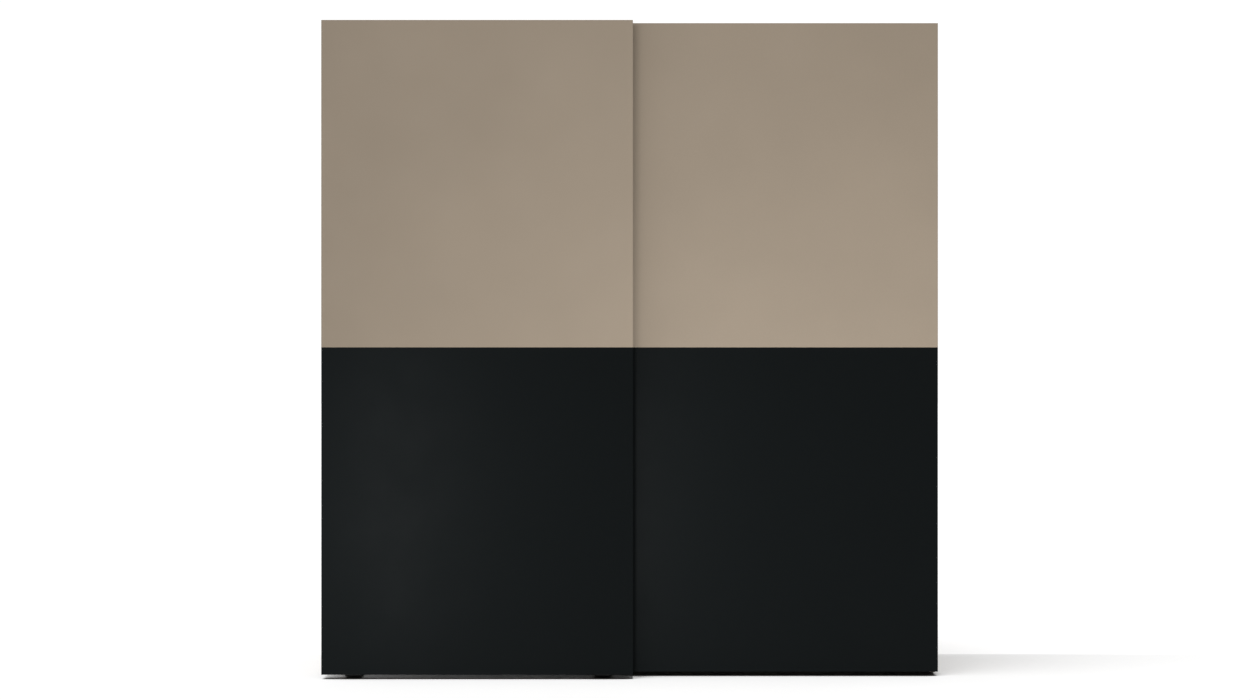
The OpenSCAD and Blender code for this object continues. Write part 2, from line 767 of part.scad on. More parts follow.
// The dust brush along the right edge of a door's back: a carrier profile and its pile
module door_brush(d) {
    gap = d == LEFT ? door_offset - door_t : carcass_clearance;
    reach = gap - brush_clear;
    carrier = max(3, reach - brush_pile);
    x = door_x[d] + door_w - 4 - brush_base_w;
    z0 = floor_gap + brush_end_gap;
    z1 = door_top - brush_end_gap - 30;
    color(black_plastic) {
        block([x, door_back_y[d], z0], [x + brush_base_w, door_back_y[d] + carrier, z1]);
        block([x + 3.5, door_back_y[d], z0], [x + brush_base_w - 3.5, door_back_y[d] + reach, z1]);
    }
}

module left_door_upper_panel() upper_panel(LEFT);
module left_door_lower_panel() lower_panel(LEFT);
module left_door_stiffeners() stiffeners(LEFT);
module left_door_joint_plates() joint_plates(LEFT);
module left_door_hangers() hangers(LEFT);
module left_door_carriages() carriages(LEFT);
module left_door_axles() axles(LEFT);
module left_door_guide_brackets() guide_brackets(LEFT);
module left_door_screws() door_screws(LEFT);
module left_door_brush() door_brush(LEFT);
module right_door_upper_panel() upper_panel(RIGHT);
module right_door_lower_panel() lower_panel(RIGHT);
module right_door_stiffeners() stiffeners(RIGHT);
module right_door_joint_plates() joint_plates(RIGHT);
module right_door_hangers() hangers(RIGHT);
module right_door_carriages() carriages(RIGHT);
module right_door_axles() axles(RIGHT);
module right_door_guide_brackets() guide_brackets(RIGHT);
module right_door_screws() door_screws(RIGHT);
module right_door_brush() door_brush(RIGHT);

left_side_panel();
right_side_panel();
centre_partition();
left_top_panel();
right_top_panel();
left_bottom_panel();
right_bottom_panel();
front_plinth();
left_outer_back_panel();
left_inner_back_panel();
right_inner_back_panel();
right_outer_back_panel();
back_joint_strips();
left_hat_shelf();
right_hat_shelf();
right_middle_shelf();
right_lower_shelf();
left_hanging_rail();
right_hanging_rail();
hanging_rail_sockets();
shelf_supports();
cam_fittings();
levelling_feet();
wall_brackets();
top_track();
bottom_guide_track();
track_end_stops();
carcass_screws();
left_door_upper_panel();
left_door_lower_panel();
left_door_stiffeners();
left_door_joint_plates();
left_door_hangers();
left_door_carriages();
left_door_axles();
wheel(LEFT, 0);  // left_door_wheel_1
wheel(LEFT, 1);  // left_door_wheel_2
wheel(LEFT, 2);  // left_door_wheel_3
wheel(LEFT, 3);  // left_door_wheel_4
left_door_guide_brackets();
guide_roller(LEFT, 0);  // left_door_guide_roller_1
guide_roller(LEFT, 1);  // left_door_guide_roller_2
left_door_screws();
left_door_brush();
right_door_upper_panel();
right_door_lower_panel();
right_door_stiffeners();
right_door_joint_plates();
right_door_hangers();
right_door_carriages();
right_door_axles();
wheel(RIGHT, 0);  // right_door_wheel_1
wheel(RIGHT, 1);  // right_door_wheel_2
wheel(RIGHT, 2);  // right_door_wheel_3
wheel(RIGHT, 3);  // right_door_wheel_4
right_door_guide_brackets();
guide_roller(RIGHT, 0);  // right_door_guide_roller_1
guide_roller(RIGHT, 1);  // right_door_guide_roller_2
right_door_screws();
right_door_brush();
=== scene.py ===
"""The looks of a two-door sliding wardrobe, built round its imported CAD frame."""
import math
import random

import bmesh
import bpy
from mathutils import Matrix, Vector


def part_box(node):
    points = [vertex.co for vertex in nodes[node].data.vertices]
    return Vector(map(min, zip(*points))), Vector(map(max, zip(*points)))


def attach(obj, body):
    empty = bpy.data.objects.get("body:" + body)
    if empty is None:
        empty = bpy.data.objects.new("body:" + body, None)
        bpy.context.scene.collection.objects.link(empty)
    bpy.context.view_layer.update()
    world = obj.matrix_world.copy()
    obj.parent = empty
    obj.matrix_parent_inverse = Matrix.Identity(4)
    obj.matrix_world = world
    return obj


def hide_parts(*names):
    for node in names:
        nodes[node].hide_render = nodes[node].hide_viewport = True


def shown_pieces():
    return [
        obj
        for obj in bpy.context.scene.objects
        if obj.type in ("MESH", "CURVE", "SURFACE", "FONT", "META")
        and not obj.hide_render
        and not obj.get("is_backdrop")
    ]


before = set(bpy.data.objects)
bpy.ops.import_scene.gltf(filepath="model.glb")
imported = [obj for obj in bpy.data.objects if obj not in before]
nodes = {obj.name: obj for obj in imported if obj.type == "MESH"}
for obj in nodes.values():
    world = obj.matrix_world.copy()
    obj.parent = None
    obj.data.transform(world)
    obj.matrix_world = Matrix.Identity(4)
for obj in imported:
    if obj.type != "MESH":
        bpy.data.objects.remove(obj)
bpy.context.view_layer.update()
MM = 0.001

# ---------------------------------------------------------------- places

DOORS = ("left_door", "right_door")
DOOR_BOX = {d: (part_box(f"{d}_lower_panel")[0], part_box(f"{d}_upper_panel")[1]) for d in DOORS}
(left_lo, left_hi), (right_lo, right_hi) = DOOR_BOX.values()
side_lo, side_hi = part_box("left_side_panel")
FRONT_Y = left_lo.y
CARCASS_FRONT, CARCASS_BACK, CARCASS_TOP = side_lo.y, side_hi.y, side_hi.z

# ---------------------------------------------------------------- materials


class Shader:
    """Builds one node material, with sockets addressed by name."""

    def __init__(self, name):
        self.mat = bpy.data.materials.new(name)
        self.mat.use_nodes = True
        self.tree = self.mat.node_tree
        self.tree.nodes.clear()
        self.bsdf = self.node("ShaderNodeBsdfPrincipled")
        out = self.node("ShaderNodeOutputMaterial")
        self.link(self.bsdf.outputs[0], out.inputs["Surface"])
        self.coords = self.node("ShaderNodeTexCoord").outputs["Object"]
        self.parts = None

    def node(self, kind, **settings):
        made = self.tree.nodes.new(kind)
        for key, value in settings.items():
            setattr(made, key, value)
        return made

    def link(self, source, target):
        self.tree.links.new(source, target)

    def feed(self, target, value):
        if isinstance(value, bpy.types.NodeSocket):
            self.link(value, target)
        else:
            target.default_value = value

    def math(self, kind, a, b=0.0, clamp=False):
        made = self.node("ShaderNodeMath", operation=kind, use_clamp=clamp)
        self.feed(made.inputs[0], a)
        self.feed(made.inputs[1], b)
        return made.outputs[0]

    def stretched(self, scale):
        made = self.node("ShaderNodeMapping")
        self.link(self.coords, made.inputs["Vector"])
        made.inputs["Scale"].default_value = scale
        return made.outputs[0]

    def noise(self, scale, detail=2.0, stretch=None, rough=0.5):
        made = self.node("ShaderNodeTexNoise")
        self.link(self.stretched(stretch) if stretch else self.coords, made.inputs["Vector"])
        made.inputs["Scale"].default_value = scale
        made.inputs["Detail"].default_value = detail
        made.inputs["Roughness"].default_value = rough
        return made.outputs["Fac"]

    def cells(self, scale, output="Color", stretch=None):
        made = self.node("ShaderNodeTexVoronoi")
        self.link(self.stretched(stretch) if stretch else self.coords, made.inputs["Vector"])
        made.inputs["Scale"].default_value = scale
        return made.outputs[output]

    def grey_cells(self, scale):
        """Cells, each in a grey of its own, spread over the range from 0 to 1."""
        made = self.node("ShaderNodeRGBToBW")
        self.link(self.cells(scale), made.inputs[0])
        return made.outputs[0]

    def wave(self, along, scale, distortion=1.0):
        """Threads across one direction of the object's space."""
        made = self.node("ShaderNodeTexWave", wave_type="BANDS", bands_direction="X")
        dot = self.node("ShaderNodeVectorMath", operation="DOT_PRODUCT")
        self.link(self.coords, dot.inputs[0])
        dot.inputs[1].default_value = along
        joined = self.node("ShaderNodeCombineXYZ")
        self.link(dot.outputs["Value"], joined.inputs["X"])
        wobble = self.noise(180.0, 1.0)
        self.link(wobble, joined.inputs["Y"])
        self.link(joined.outputs[0], made.inputs["Vector"])
        made.inputs["Scale"].default_value = scale
        made.inputs["Distortion"].default_value = distortion
        made.inputs["Detail"].default_value = 1.0
        return made.outputs["Fac"]

    def remap(self, value, low, high, to_low, to_high):
        made = self.node("ShaderNodeMapRange", clamp=True)
        for key, number in (("Value", value), ("From Min", low), ("From Max", high),
                            ("To Min", to_low), ("To Max", to_high)):
            self.feed(made.inputs[key], number)
        return made.outputs["Result"]

    def spread(self, noise, to_low=0.0, to_high=1.0, trim=0.3):
        """Spreads the middle of a noise over a range. Its rarely reached ends are trimmed off."""
        return self.remap(noise, trim, 1 - trim, to_low, to_high)

    def mix(self, factor, a, b, blend="MIX"):
        made = self.node("ShaderNodeMix", data_type="RGBA", blend_type=blend)
        self.feed(made.inputs[0], factor)
        self.feed(made.inputs[6], a)
        self.feed(made.inputs[7], b)
        return made.outputs[2]

    def tinted(self, colour, tint):
        return self.mix(1.0, colour, tint, "MULTIPLY")

    def part(self, axis):
        """One of the object's own coordinates, in metres."""
        if self.parts is None:
            self.parts = self.node("ShaderNodeSeparateXYZ")
            self.link(self.coords, self.parts.inputs[0])
        return self.parts.outputs[axis]

    def bump(self, height, strength=0.3, distance=0.0002, after=None):
        made = self.node("ShaderNodeBump")
        self.link(height, made.inputs["Height"])
        made.inputs["Strength"].default_value = strength
        made.inputs["Distance"].default_value = distance
        if after:
            self.link(after, made.inputs["Normal"])
        return made.outputs["Normal"]

    def done(self, colour=None, rough=None, normal=None, metallic=0.0, **sockets):
        if colour is not None:
            self.feed(self.bsdf.inputs["Base Color"], colour)
        if rough is not None:
            self.feed(self.bsdf.inputs["Roughness"], rough)
        if normal is not None:
            self.feed(self.bsdf.inputs["Normal"], normal)
        self.bsdf.inputs["Metallic"].default_value = metallic
        for key, value in sockets.items():
            self.bsdf.inputs[key.replace("_", " ")].default_value = value
        return self.mat


def linear(r, g, b):
    """An 8-bit sRGB colour as linear light."""
    def one(v):
        v /= 255
        return v / 12.92 if v <= 0.04045 else ((v + 0.055) / 1.055) ** 2.4
    return (one(r), one(g), one(b), 1.0)


def scaled(colour, k):
    return tuple(c * k for c in colour[:3]) + (1.0,)


def chip_core(s):
    """Colour and height of an unbanded chipboard edge: pressed wood chips of two sizes."""
    tone = s.math("MULTIPLY", s.math("ADD", s.grey_cells(420.0), s.grey_cells(1100.0)), 0.5)
    return s.mix(s.spread(tone, trim=0.2), (0.27, 0.165, 0.085, 1), (0.62, 0.45, 0.27, 1)), tone


def linen_weave(s, warp, weft):
    """Fine printed threads across two directions."""
    threads = [s.wave(across, 420.0, 2.4) for across in (warp, weft)]
    return s.math("MULTIPLY", s.math("ADD", *threads), 0.5)


def board(name, base, rough=0.42, mottle=0.03, raw_back=None, band_lines=(), linen=False, gloss=0.3):
    """Melamine-faced chipboard: a fine pearl in the face, edge-band joints, wear and a raw rear edge.

    raw_back is the Y of an unbanded rear edge. band_lines holds (axis, place) of the joints between
    a face and its edge band.
    """
    s = Shader(name)
    fine = s.noise(900.0, 2.0)
    pearl = s.noise(2600.0, 1.0)
    colour = s.mix(s.spread(s.noise(2.6, 3.0)), scaled(base, 1 - mottle), scaled(base, 1 + mottle))
    colour = s.mix(s.spread(fine, trim=0.35), colour, s.tinted(colour, (0.93, 0.93, 0.93, 1)))
    height = fine
    if linen:
        height = linen_weave(s, (0, 1, 0), (1, 0, 1))
        slub = s.noise(70.0, 3.0, stretch=(1.0, 9.0, 1.0))
        tone = s.math("ADD", s.math("MULTIPLY", height, 0.65), s.math("MULTIPLY", slub, 0.35))
        colour = s.mix(s.spread(tone, trim=0.25), s.tinted(colour, (0.86, 0.85, 0.83, 1)),
                       s.tinted(colour, (1.06, 1.06, 1.06, 1)))
    for axis, place in band_lines:
        near = s.math("ABSOLUTE", s.math("SUBTRACT", s.part(axis), place))
        line = s.remap(near, 0.08 * MM, 0.22 * MM, 0.55, 0.0)
        colour = s.mix(line, colour, s.tinted(colour, (0.42, 0.41, 0.4, 1)))
    roughness = s.spread(s.noise(7.0, 4.0), rough - 0.035, rough + 0.05)
    rub = s.noise(38.0, 5.0, rough=0.7)
    roughness = s.math("ADD", roughness, s.remap(rub, 0.62, 0.8, 0.0, 0.06))
    normal = s.bump(pearl, 0.12, 0.06 * MM, s.bump(height, 0.16, 0.12 * MM))
    if raw_back is not None:
        core, chips = chip_core(s)
        raw = s.math("GREATER_THAN", s.part("Y"), raw_back - 0.9 * MM)
        colour = s.mix(raw, colour, core)
        roughness = s.math("ADD", roughness, s.math("MULTIPLY", raw, 0.4), clamp=True)
        normal = s.bump(s.math("MULTIPLY", chips, raw), 0.6, 0.6 * MM, normal)
    return s.done(colour, roughness, normal, IOR=1.48, Specular_IOR_Level=gloss)


TAUPE = linear(135, 123, 108)
ANTHRACITE = linear(20, 24, 25)
LINEN = linear(204, 197, 185)


def hardboard():
    """Printed light linen inside, and bare brown fibre on the back."""
    s = Shader("hardboard_two_sided")
    low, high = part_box("left_outer_back_panel")
    behind = s.math("GREATER_THAN", s.part("Y"), (low.y + high.y) / 2)
    weave = linen_weave(s, (1, 0, 0), (0, 0, 1))
    printed = s.mix(weave, scaled(LINEN, 0.86), scaled(LINEN, 1.04))
    fibre = s.noise(160.0, 6.0, stretch=(1.0, 1.0, 2.2), rough=0.72)
    flecks = s.cells(520.0, "Distance", stretch=(1.0, 1.0, 0.35))
    brown = s.mix(s.spread(fibre), (0.135, 0.07, 0.034, 1), (0.3, 0.18, 0.098, 1))
    brown = s.mix(s.remap(flecks, 0.05, 0.2, 0.5, 0.0), brown, (0.42, 0.28, 0.16, 1))
    cloud = s.mix(s.spread(s.noise(3.0, 3.0)), (0.95, 0.95, 0.95, 1), (1.04, 1.04, 1.04, 1))
    colour = s.mix(behind, printed, s.tinted(brown, cloud))
    roughness = s.math("ADD", s.math("MULTIPLY", behind, 0.28), s.spread(fibre, 0.46, 0.54))
    screen = s.wave((1, 0, 1), 210.0, 0.6)
    rear_height = s.math("ADD", s.math("MULTIPLY", fibre, 0.8), s.math("MULTIPLY", screen, 0.35))
    normal = s.bump(s.mix(behind, weave, rear_height), 0.4, 0.2 * MM)
    return s.done(colour, roughness, normal, IOR=1.45)


def zinc():
    """Bright zinc with a faint blue and straw passivation, spangle and handling marks."""
    s = Shader("zinc_plated_steel")
    tint = s.spread(s.noise(22.0, 3.0), trim=0.35)
    colour = s.mix(tint, (0.615, 0.635, 0.65, 1), (0.655, 0.645, 0.61, 1))
    spangle = s.spread(s.grey_cells(260.0), trim=0.2)
    colour = s.mix(spangle, colour, s.tinted(colour, (0.92, 0.925, 0.93, 1)))
    rolled = s.noise(60.0, 4.0, stretch=(1.0, 14.0, 14.0))
    scratch = s.noise(210.0, 3.0, stretch=(0.4, 6.0, 6.0))
    rough = s.math("ADD", s.spread(rolled, 0.27, 0.42), s.remap(scratch, 0.6, 0.75, 0.0, 0.12))
    normal = s.bump(s.noise(420.0, 3.0), 0.18, 0.1 * MM, s.bump(scratch, 0.12, 0.1 * MM))
    return s.done(colour, rough, normal, metallic=1.0)


def die_lines(s, stretch):
    """The lines an extrusion die leaves along a profile, as height and as two tones of the metal."""
    lines = s.noise(900.0, 4.0, stretch=stretch)
    return lines, s.mix(s.spread(lines, trim=0.35), (0.66, 0.67, 0.68, 1), (0.78, 0.785, 0.79, 1))


def aluminium():
    """Extruded profile: die lines along X under a satin anodised film."""
    s = Shader("anodised_aluminium")
    lines, colour = die_lines(s, (0.006, 1.0, 1.0))
    broad = s.noise(120.0, 2.0, stretch=(0.01, 1.0, 1.0))
    colour = s.mix(s.spread(s.noise(9.0, 3.0), 0.0, 0.5), colour, (0.7, 0.705, 0.72, 1))
    rough = s.math("ADD", s.spread(broad, 0.28, 0.38), s.spread(lines, 0.0, 0.06))
    return s.done(colour, rough, s.bump(lines, 0.22, 0.08 * MM), metallic=1.0)


def upright_aluminium():
    """Extruded profile whose die lines run up it."""
    s = Shader("anodised_aluminium_upright")
    lines, colour = die_lines(s, (1.0, 1.0, 0.006))
    rough = s.spread(s.noise(9.0, 3.0), 0.27, 0.4)
    return s.done(colour, rough, s.bump(lines, 0.22, 0.08 * MM), metallic=1.0)


def chrome():
    """Polished chrome on drawn tube, with smears and with hairlines along X."""
    s = Shader("polished_chrome")
    hair = s.noise(1500.0, 3.0, stretch=(0.01, 1.0, 1.0))
    smear = s.noise(14.0, 5.0, rough=0.65)
    colour = s.mix(s.spread(smear, trim=0.35), (0.83, 0.84, 0.86, 1), (0.76, 0.775, 0.79, 1))
    rough = s.math("ADD", s.remap(smear, 0.3, 0.75, 0.06, 0.16), s.remap(hair, 0.6, 0.75, 0.0, 0.1))
    return s.done(colour, rough, s.bump(hair, 0.06, 0.04 * MM), metallic=1.0)


def plastic(name, base, rough, grain=0.22, scale=700.0, mottle=0.06, **sockets):
    """Moulded plastic with a spark-eroded grain and slight tone and gloss changes."""
    s = Shader(name)
    grit = s.noise(scale, 3.0)
    cloud = s.noise(26.0, 4.0)
    colour = s.mix(s.spread(cloud), scaled(base, 1 - mottle), scaled(base, 1 + mottle))
    roughness = s.math("ADD", s.spread(cloud, rough - 0.05, rough + 0.06),
                       s.remap(grit, 0.35, 0.7, 0.0, 0.08))
    return s.done(colour, roughness, s.bump(grit, grain, 0.15 * MM), **sockets)


def powder_coat():
    """Black powder coat with an orange peel, in two close tones."""
    s = Shader("black_powder_coat")
    peel = s.noise(520.0, 1.5)
    cloud = s.noise(30.0, 3.0)
    colour = s.mix(s.spread(cloud), (0.011, 0.011, 0.012, 1), (0.02, 0.02, 0.021, 1))
    return s.done(colour, s.spread(cloud, 0.34, 0.46), s.bump(peel, 0.4, 0.3 * MM), IOR=1.5)


def brush_pile():
    """Dark polypropylene bristles, with paler strands and clumps."""
    s = Shader("brush_pile")
    strands = s.noise(1800.0, 2.0, stretch=(1.0, 0.05, 1.0))
    clump = s.noise(140.0, 3.0)
    colour = s.mix(s.spread(strands, trim=0.35), (0.006, 0.006, 0.007, 1), (0.04, 0.04, 0.042, 1))
    colour = s.mix(s.remap(clump, 0.4, 0.7, 0.0, 0.5), colour, (0.05, 0.048, 0.046, 1))
    return s.done(colour, s.spread(clump, 0.62, 0.8), s.bump(strands, 0.7, 0.3 * MM),
                  Sheen_Weight=0.25, Sheen_Roughness=0.4)


def ball_steel():
    """Bearing steel with a fine ground finish."""
    s = Shader("bearing_steel")
    ground = s.noise(1300.0, 3.0)
    colour = s.mix(s.spread(s.noise(90.0, 3.0)), (0.5, 0.505, 0.51, 1), (0.62, 0.62, 0.61, 1))
    return s.done(colour, s.spread(ground, 0.18, 0.3), s.bump(ground, 0.1, 0.05 * MM), metallic=1.0)


BAND_T = 1.0 * MM
FACING_T = 0.25 * MM
door_mats = {}
for d in DOORS:
    lo, hi = DOOR_BOX[d]
    sides = [("X", lo.x + BAND_T), ("X", hi.x - BAND_T)]
    facing = ("Y", lo.y + FACING_T)
    door_mats[d, "upper"] = board(f"{d}_taupe_melamine", TAUPE, rough=0.5, gloss=0.15,
                                  band_lines=sides + [("Z", hi.z - BAND_T), facing])
    door_mats[d, "lower"] = board(f"{d}_anthracite_melamine", ANTHRACITE, rough=0.44, mottle=0.02,
                                  gloss=0.06, band_lines=sides + [("Z", lo.z + BAND_T), facing])
front_band = [("Y", CARCASS_FRONT + BAND_T)]
carcass_mat = board("carcass_taupe_melamine", TAUPE, raw_back=CARCASS_BACK, band_lines=front_band)
interior_mat = board("interior_linen_melamine", LINEN, raw_back=CARCASS_BACK, linen=True,
                     band_lines=front_band)
shelf_lo, shelf_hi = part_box("left_hat_shelf")
shelf_mat = board("shelf_linen_melamine", LINEN, raw_back=shelf_hi.y, linen=True,
                  band_lines=[("Y", shelf_lo.y + BAND_T)])
hardboard_mat = hardboard()
zinc_mat = zinc()
aluminium_mat = aluminium()
upright_mat = upright_aluminium()
chrome_mat = chrome()
black_mat = plastic("black_moulded_plastic", linear(30, 30, 32), 0.44)
rubber_mat = plastic("black_rubber", linear(24, 24, 25), 0.72, grain=0.35, scale=420.0, mottle=0.12)
white_mat = plastic("white_extruded_plastic", linear(226, 224, 218), 0.4, grain=0.12)
nylon_mat = plastic("moulded_nylon", linear(228, 226, 216), 0.36, grain=0.12, mottle=0.025,
                    Subsurface_Weight=0.12, Subsurface_Scale=0.002)
coat_mat = powder_coat()
pile_mat = brush_pile()
steel_mat = ball_steel()

# ---------------------------------------------------------------- mesh helpers

UP, DOWN = Vector((0, 0, 1)), Vector((0, 0, -1))
FRONT, BACK = Vector((0, -1, 0)), Vector((0, 1, 0))
LEFT, RIGHT = Vector((-1, 0, 0)), Vector((1, 0, 0))
ALONG_X, ALONG_Y, ALONG_Z = (BACK, UP, RIGHT), (RIGHT, UP, BACK), (RIGHT, BACK, UP)


def frame_of(axis):
    """Two directions across an axis, and the axis itself."""
    axis = Vector(axis).normalized()
    u = axis.orthogonal().normalized()
    return u, axis.cross(u), axis


def add_bevel(obj, width, segments=2, angle=32.0):
    mod = obj.modifiers.new("eased_edges", "BEVEL")
    mod.width = width
    mod.segments = segments
    mod.limit_method = "ANGLE"
    mod.angle_limit = math.radians(angle)
    mod.use_clamp_overlap = True
    mod.harden_normals = True
    mod.miter_outer = "MITER_ARC"


def finish_piece(name, bm, materials, body, replaces=(), bevel=None, angle=32.0):
    """Turns a bmesh into a piece that rides on a body."""
    bmesh.ops.remove_doubles(bm, verts=bm.verts, dist=1e-7)
    bmesh.ops.recalc_face_normals(bm, faces=bm.faces)
    mesh = bpy.data.meshes.new(name)
    bm.to_mesh(mesh)
    bm.free()
    obj = bpy.data.objects.new(name, mesh)
    bpy.context.scene.collection.objects.link(obj)
    for m in materials:
        mesh.materials.append(m)
    mesh.polygons.foreach_set("use_smooth", [True] * len(mesh.polygons))
    mesh.set_sharp_from_angle(angle=math.radians(angle))
    if bevel:
        add_bevel(obj, bevel, angle=angle)
    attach(obj, body)
    if replaces:
        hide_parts(*replaces)
    return obj


def lathe(bm, profile, centre, axis, sides=48, closed=False, material=0):
    """A turned shape: profile is (radius, distance along the axis) from the centre."""
    u, v, w = frame_of(axis)
    rings = []
    for r, h in profile:
        if r < 1e-7:
            rings.append([bm.verts.new(centre + w * h)])
        else:
            rings.append([bm.verts.new(centre + w * h + (u * math.cos(a) + v * math.sin(a)) * r)
                          for a in (2 * math.pi * k / sides for k in range(sides))])
    pairs = list(zip(rings, rings[1:])) + ([(rings[-1], rings[0])] if closed else [])
    for a, b in pairs:
        for k in range(sides):
            n = (k + 1) % sides
            loop = [a[k % len(a)], a[n % len(a)], b[n % len(b)], b[k % len(b)]]
            unique = [p for i, p in enumerate(loop) if p not in loop[:i]]
            if len(unique) > 2:
                bm.faces.new(unique).material_index = material
    return rings


def mirrored(half_profile):
    """A turned profile and its mirror image beyond the centre."""
    return half_profile + [(r, -h) for r, h in reversed(half_profile)]


def prism(bm, outline, origin, directions, length):
    """An outline in the plane of the first two directions, drawn out along the third."""
    u, v, w = directions
    near = [bm.verts.new(origin + u * a + v * b) for a, b in outline]
    far = [bm.verts.new(p.co + w * length) for p in near]
    bm.faces.new(near[::-1])
    bm.faces.new(far)
    for k in range(len(near)):
        n = (k + 1) % len(near)
        bm.faces.new([near[k], near[n], far[n], far[k]])


def box(bm, lo, hi):
    lo, size = Vector(lo), Vector(hi) - Vector(lo)
    prism(bm, [(0, 0), (size.x, 0), (size.x, size.y), (0, size.y)], lo, ALONG_Z, size.z)


def arc(cx, cy, r, start, end, steps):
    turns = [math.radians(start + (end - start) * k / steps) for k in range(steps + 1)]
    return [(cx + r * math.cos(a), cy + r * math.sin(a)) for a in turns]


def angle_outline(first, corner, last, t, inner_r, steps=6):
    """The outline of a strip bent square at a corner: its outer face runs first, corner, last."""
    first, corner, last = Vector(first), Vector(corner), Vector(last)
    d1, d2 = (corner - first).normalized(), (last - corner).normalized()
    outer_r = inner_r + t
    centre = corner - d1 * outer_r + d2 * outer_r
    turns = [math.radians(90 * k / steps) for k in range(steps + 1)]
    outside = [centre + (d1 * math.sin(a) - d2 * math.cos(a)) * outer_r for a in turns]
    inside = [centre + (d1 * math.sin(a) - d2 * math.cos(a)) * inner_r for a in reversed(turns)]
    return [tuple(p) for p in [first] + outside + [last, last - d1 * t] + inside + [first + d2 * t]]


def rib(bm, x, y, low, high, r, flatness):
    """A pressed rib that runs up the leg of a bent plate. It starts just inside the plate's face."""
    outline = [(a, b * flatness) for a, b in arc(0, 0, r, 0, 180, 8)]
    prism(bm, outline, Vector((x, y - 0.05 * MM, low)), ALONG_Z, high - low)


HEAD_R, HEAD_H, SHANK_R = 4.0 * MM, 2.2 * MM, 2.0 * MM
HEAD_SIDES = 28
RECESS_TAPER = 0.62


def cross_shape(r, w):
    return [(r, -w), (r, w), (w, w), (w, r), (-w, r), (-w, w),
            (-r, w), (-r, -w), (-w, -w), (-w, -r), (w, -r), (w, -w)]


def recessed_head(bm, profile, centre, axis, spin, depth):
    """A turned screw head with a tapered cross recess. The profile ends at the head's flat top."""
    u, v, w = frame_of(axis)
    top_h = profile[-1][1]
    rim = lathe(bm, profile, centre, axis, HEAD_SIDES)[-1]
    turn = Matrix.Rotation(spin, 2)
    cross = [turn @ Vector(p) for p in cross_shape(HEAD_R * 0.5, HEAD_R * 0.13)]
    mouth = [bm.verts.new(centre + w * top_h + u * p.x + v * p.y) for p in cross]
    floor = [bm.verts.new(centre + w * (top_h - depth) + (u * p.x + v * p.y) * RECESS_TAPER) for p in cross]
    edges = [bm.edges.get((rim[k], rim[(k + 1) % HEAD_SIDES])) for k in range(HEAD_SIDES)]
    count = len(mouth)
    edges += [bm.edges.new((mouth[k], mouth[(k + 1) % count])) for k in range(count)]
    bmesh.ops.triangle_fill(bm, use_beauty=True, use_dissolve=False, edges=edges)
    for k in range(count):
        n = (k + 1) % count
        bm.faces.new([mouth[k], mouth[n], floor[n], floor[k]])
    bm.faces.new(floor)


def tapered_tip(length):
    """The lower end of a screw's profile."""
    return [(0.0, -length), (SHANK_R * 0.5, -length), (SHANK_R, -length + 2 * MM)]


def pan_screw(bm, seat, axis, spin, shank):
    """A pan head standing on its seat, with its shank below."""
    profile = tapered_tip(shank) + [(SHANK_R, 0.0), (HEAD_R, 0.0)]
    for k in range(7):
        a = math.radians(90 * k / 6)
        profile.append((HEAD_R * (0.62 + 0.38 * math.cos(a)), HEAD_H * (0.28 + 0.72 * math.sin(a))))
    recessed_head(bm, profile, seat, axis, spin, HEAD_H * 0.72)


def flush_screw(bm, top, axis, spin, length):
    """A countersunk screw whose top lies in the surface."""
    profile = tapered_tip(length) + [(SHANK_R, -HEAD_H), (HEAD_R * 0.96, -0.15 * MM), (HEAD_R * 0.96, 0.0),
                                     (HEAD_R * 0.9, 0.0)]
    recessed_head(bm, profile, top, axis, spin, HEAD_H * 0.75)


def islands(node):
    """The separate solids of a CAD node, each as its lowest and highest corners."""
    mesh = nodes[node].data
    bm = bmesh.new()
    bm.from_mesh(mesh)
    bmesh.ops.remove_doubles(bm, verts=bm.verts, dist=1e-6)
    seen, found = set(), []
    for start in bm.verts:
        if start in seen:
            continue
        stack, group = [start], []
        seen.add(start)
        while stack:
            p = stack.pop()
            group.append(p.co.copy())
            for e in p.link_edges:
                q = e.other_vert(p)
                if q not in seen:
                    seen.add(q)
                    stack.append(q)
        lo = Vector([min(p[i] for p in group) for i in range(3)])
        hi = Vector([max(p[i] for p in group) for i in range(3)])
        found.append((lo, hi))
    bm.free()
    return sorted(found, key=lambda b: tuple(round(c, 5) for c in b[0]))


rng = random.Random(7)


def any_turn():
    return rng.uniform(0, math.pi)


# ---------------------------------------------------------------- boards and profiles from the CAD

# Each node's material, and how far its edges are eased, in millimetres.
CAD_LOOKS = {
    "left_side_panel": (carcass_mat, 0.6), "right_side_panel": (carcass_mat, 0.6),
    "front_plinth": (carcass_mat, 0.8), "centre_partition": (interior_mat, 0.6),
    "back_joint_strips": (white_mat, 0.3), "hanging_rail_sockets": (chrome_mat, 0.5),
    "left_hanging_rail": (chrome_mat, None), "right_hanging_rail": (chrome_mat, None),
    "shelf_supports": (zinc_mat, 0.3), "cam_fittings": (zinc_mat, 0.3),
    "top_track": (aluminium_mat, 0.25), "bottom_guide_track": (aluminium_mat, 0.25),
    "right_middle_shelf": (shelf_mat, 0.9), "right_lower_shelf": (shelf_mat, 0.9),
}
for side in ("left", "right"):
    CAD_LOOKS[f"{side}_top_panel"] = CAD_LOOKS[f"{side}_bottom_panel"] = (interior_mat, 0.5)
    CAD_LOOKS[f"{side}_hat_shelf"] = (shelf_mat, 0.9)
    CAD_LOOKS[f"{side}_outer_back_panel"] = CAD_LOOKS[f"{side}_inner_back_panel"] = (hardboard_mat, 0.25)
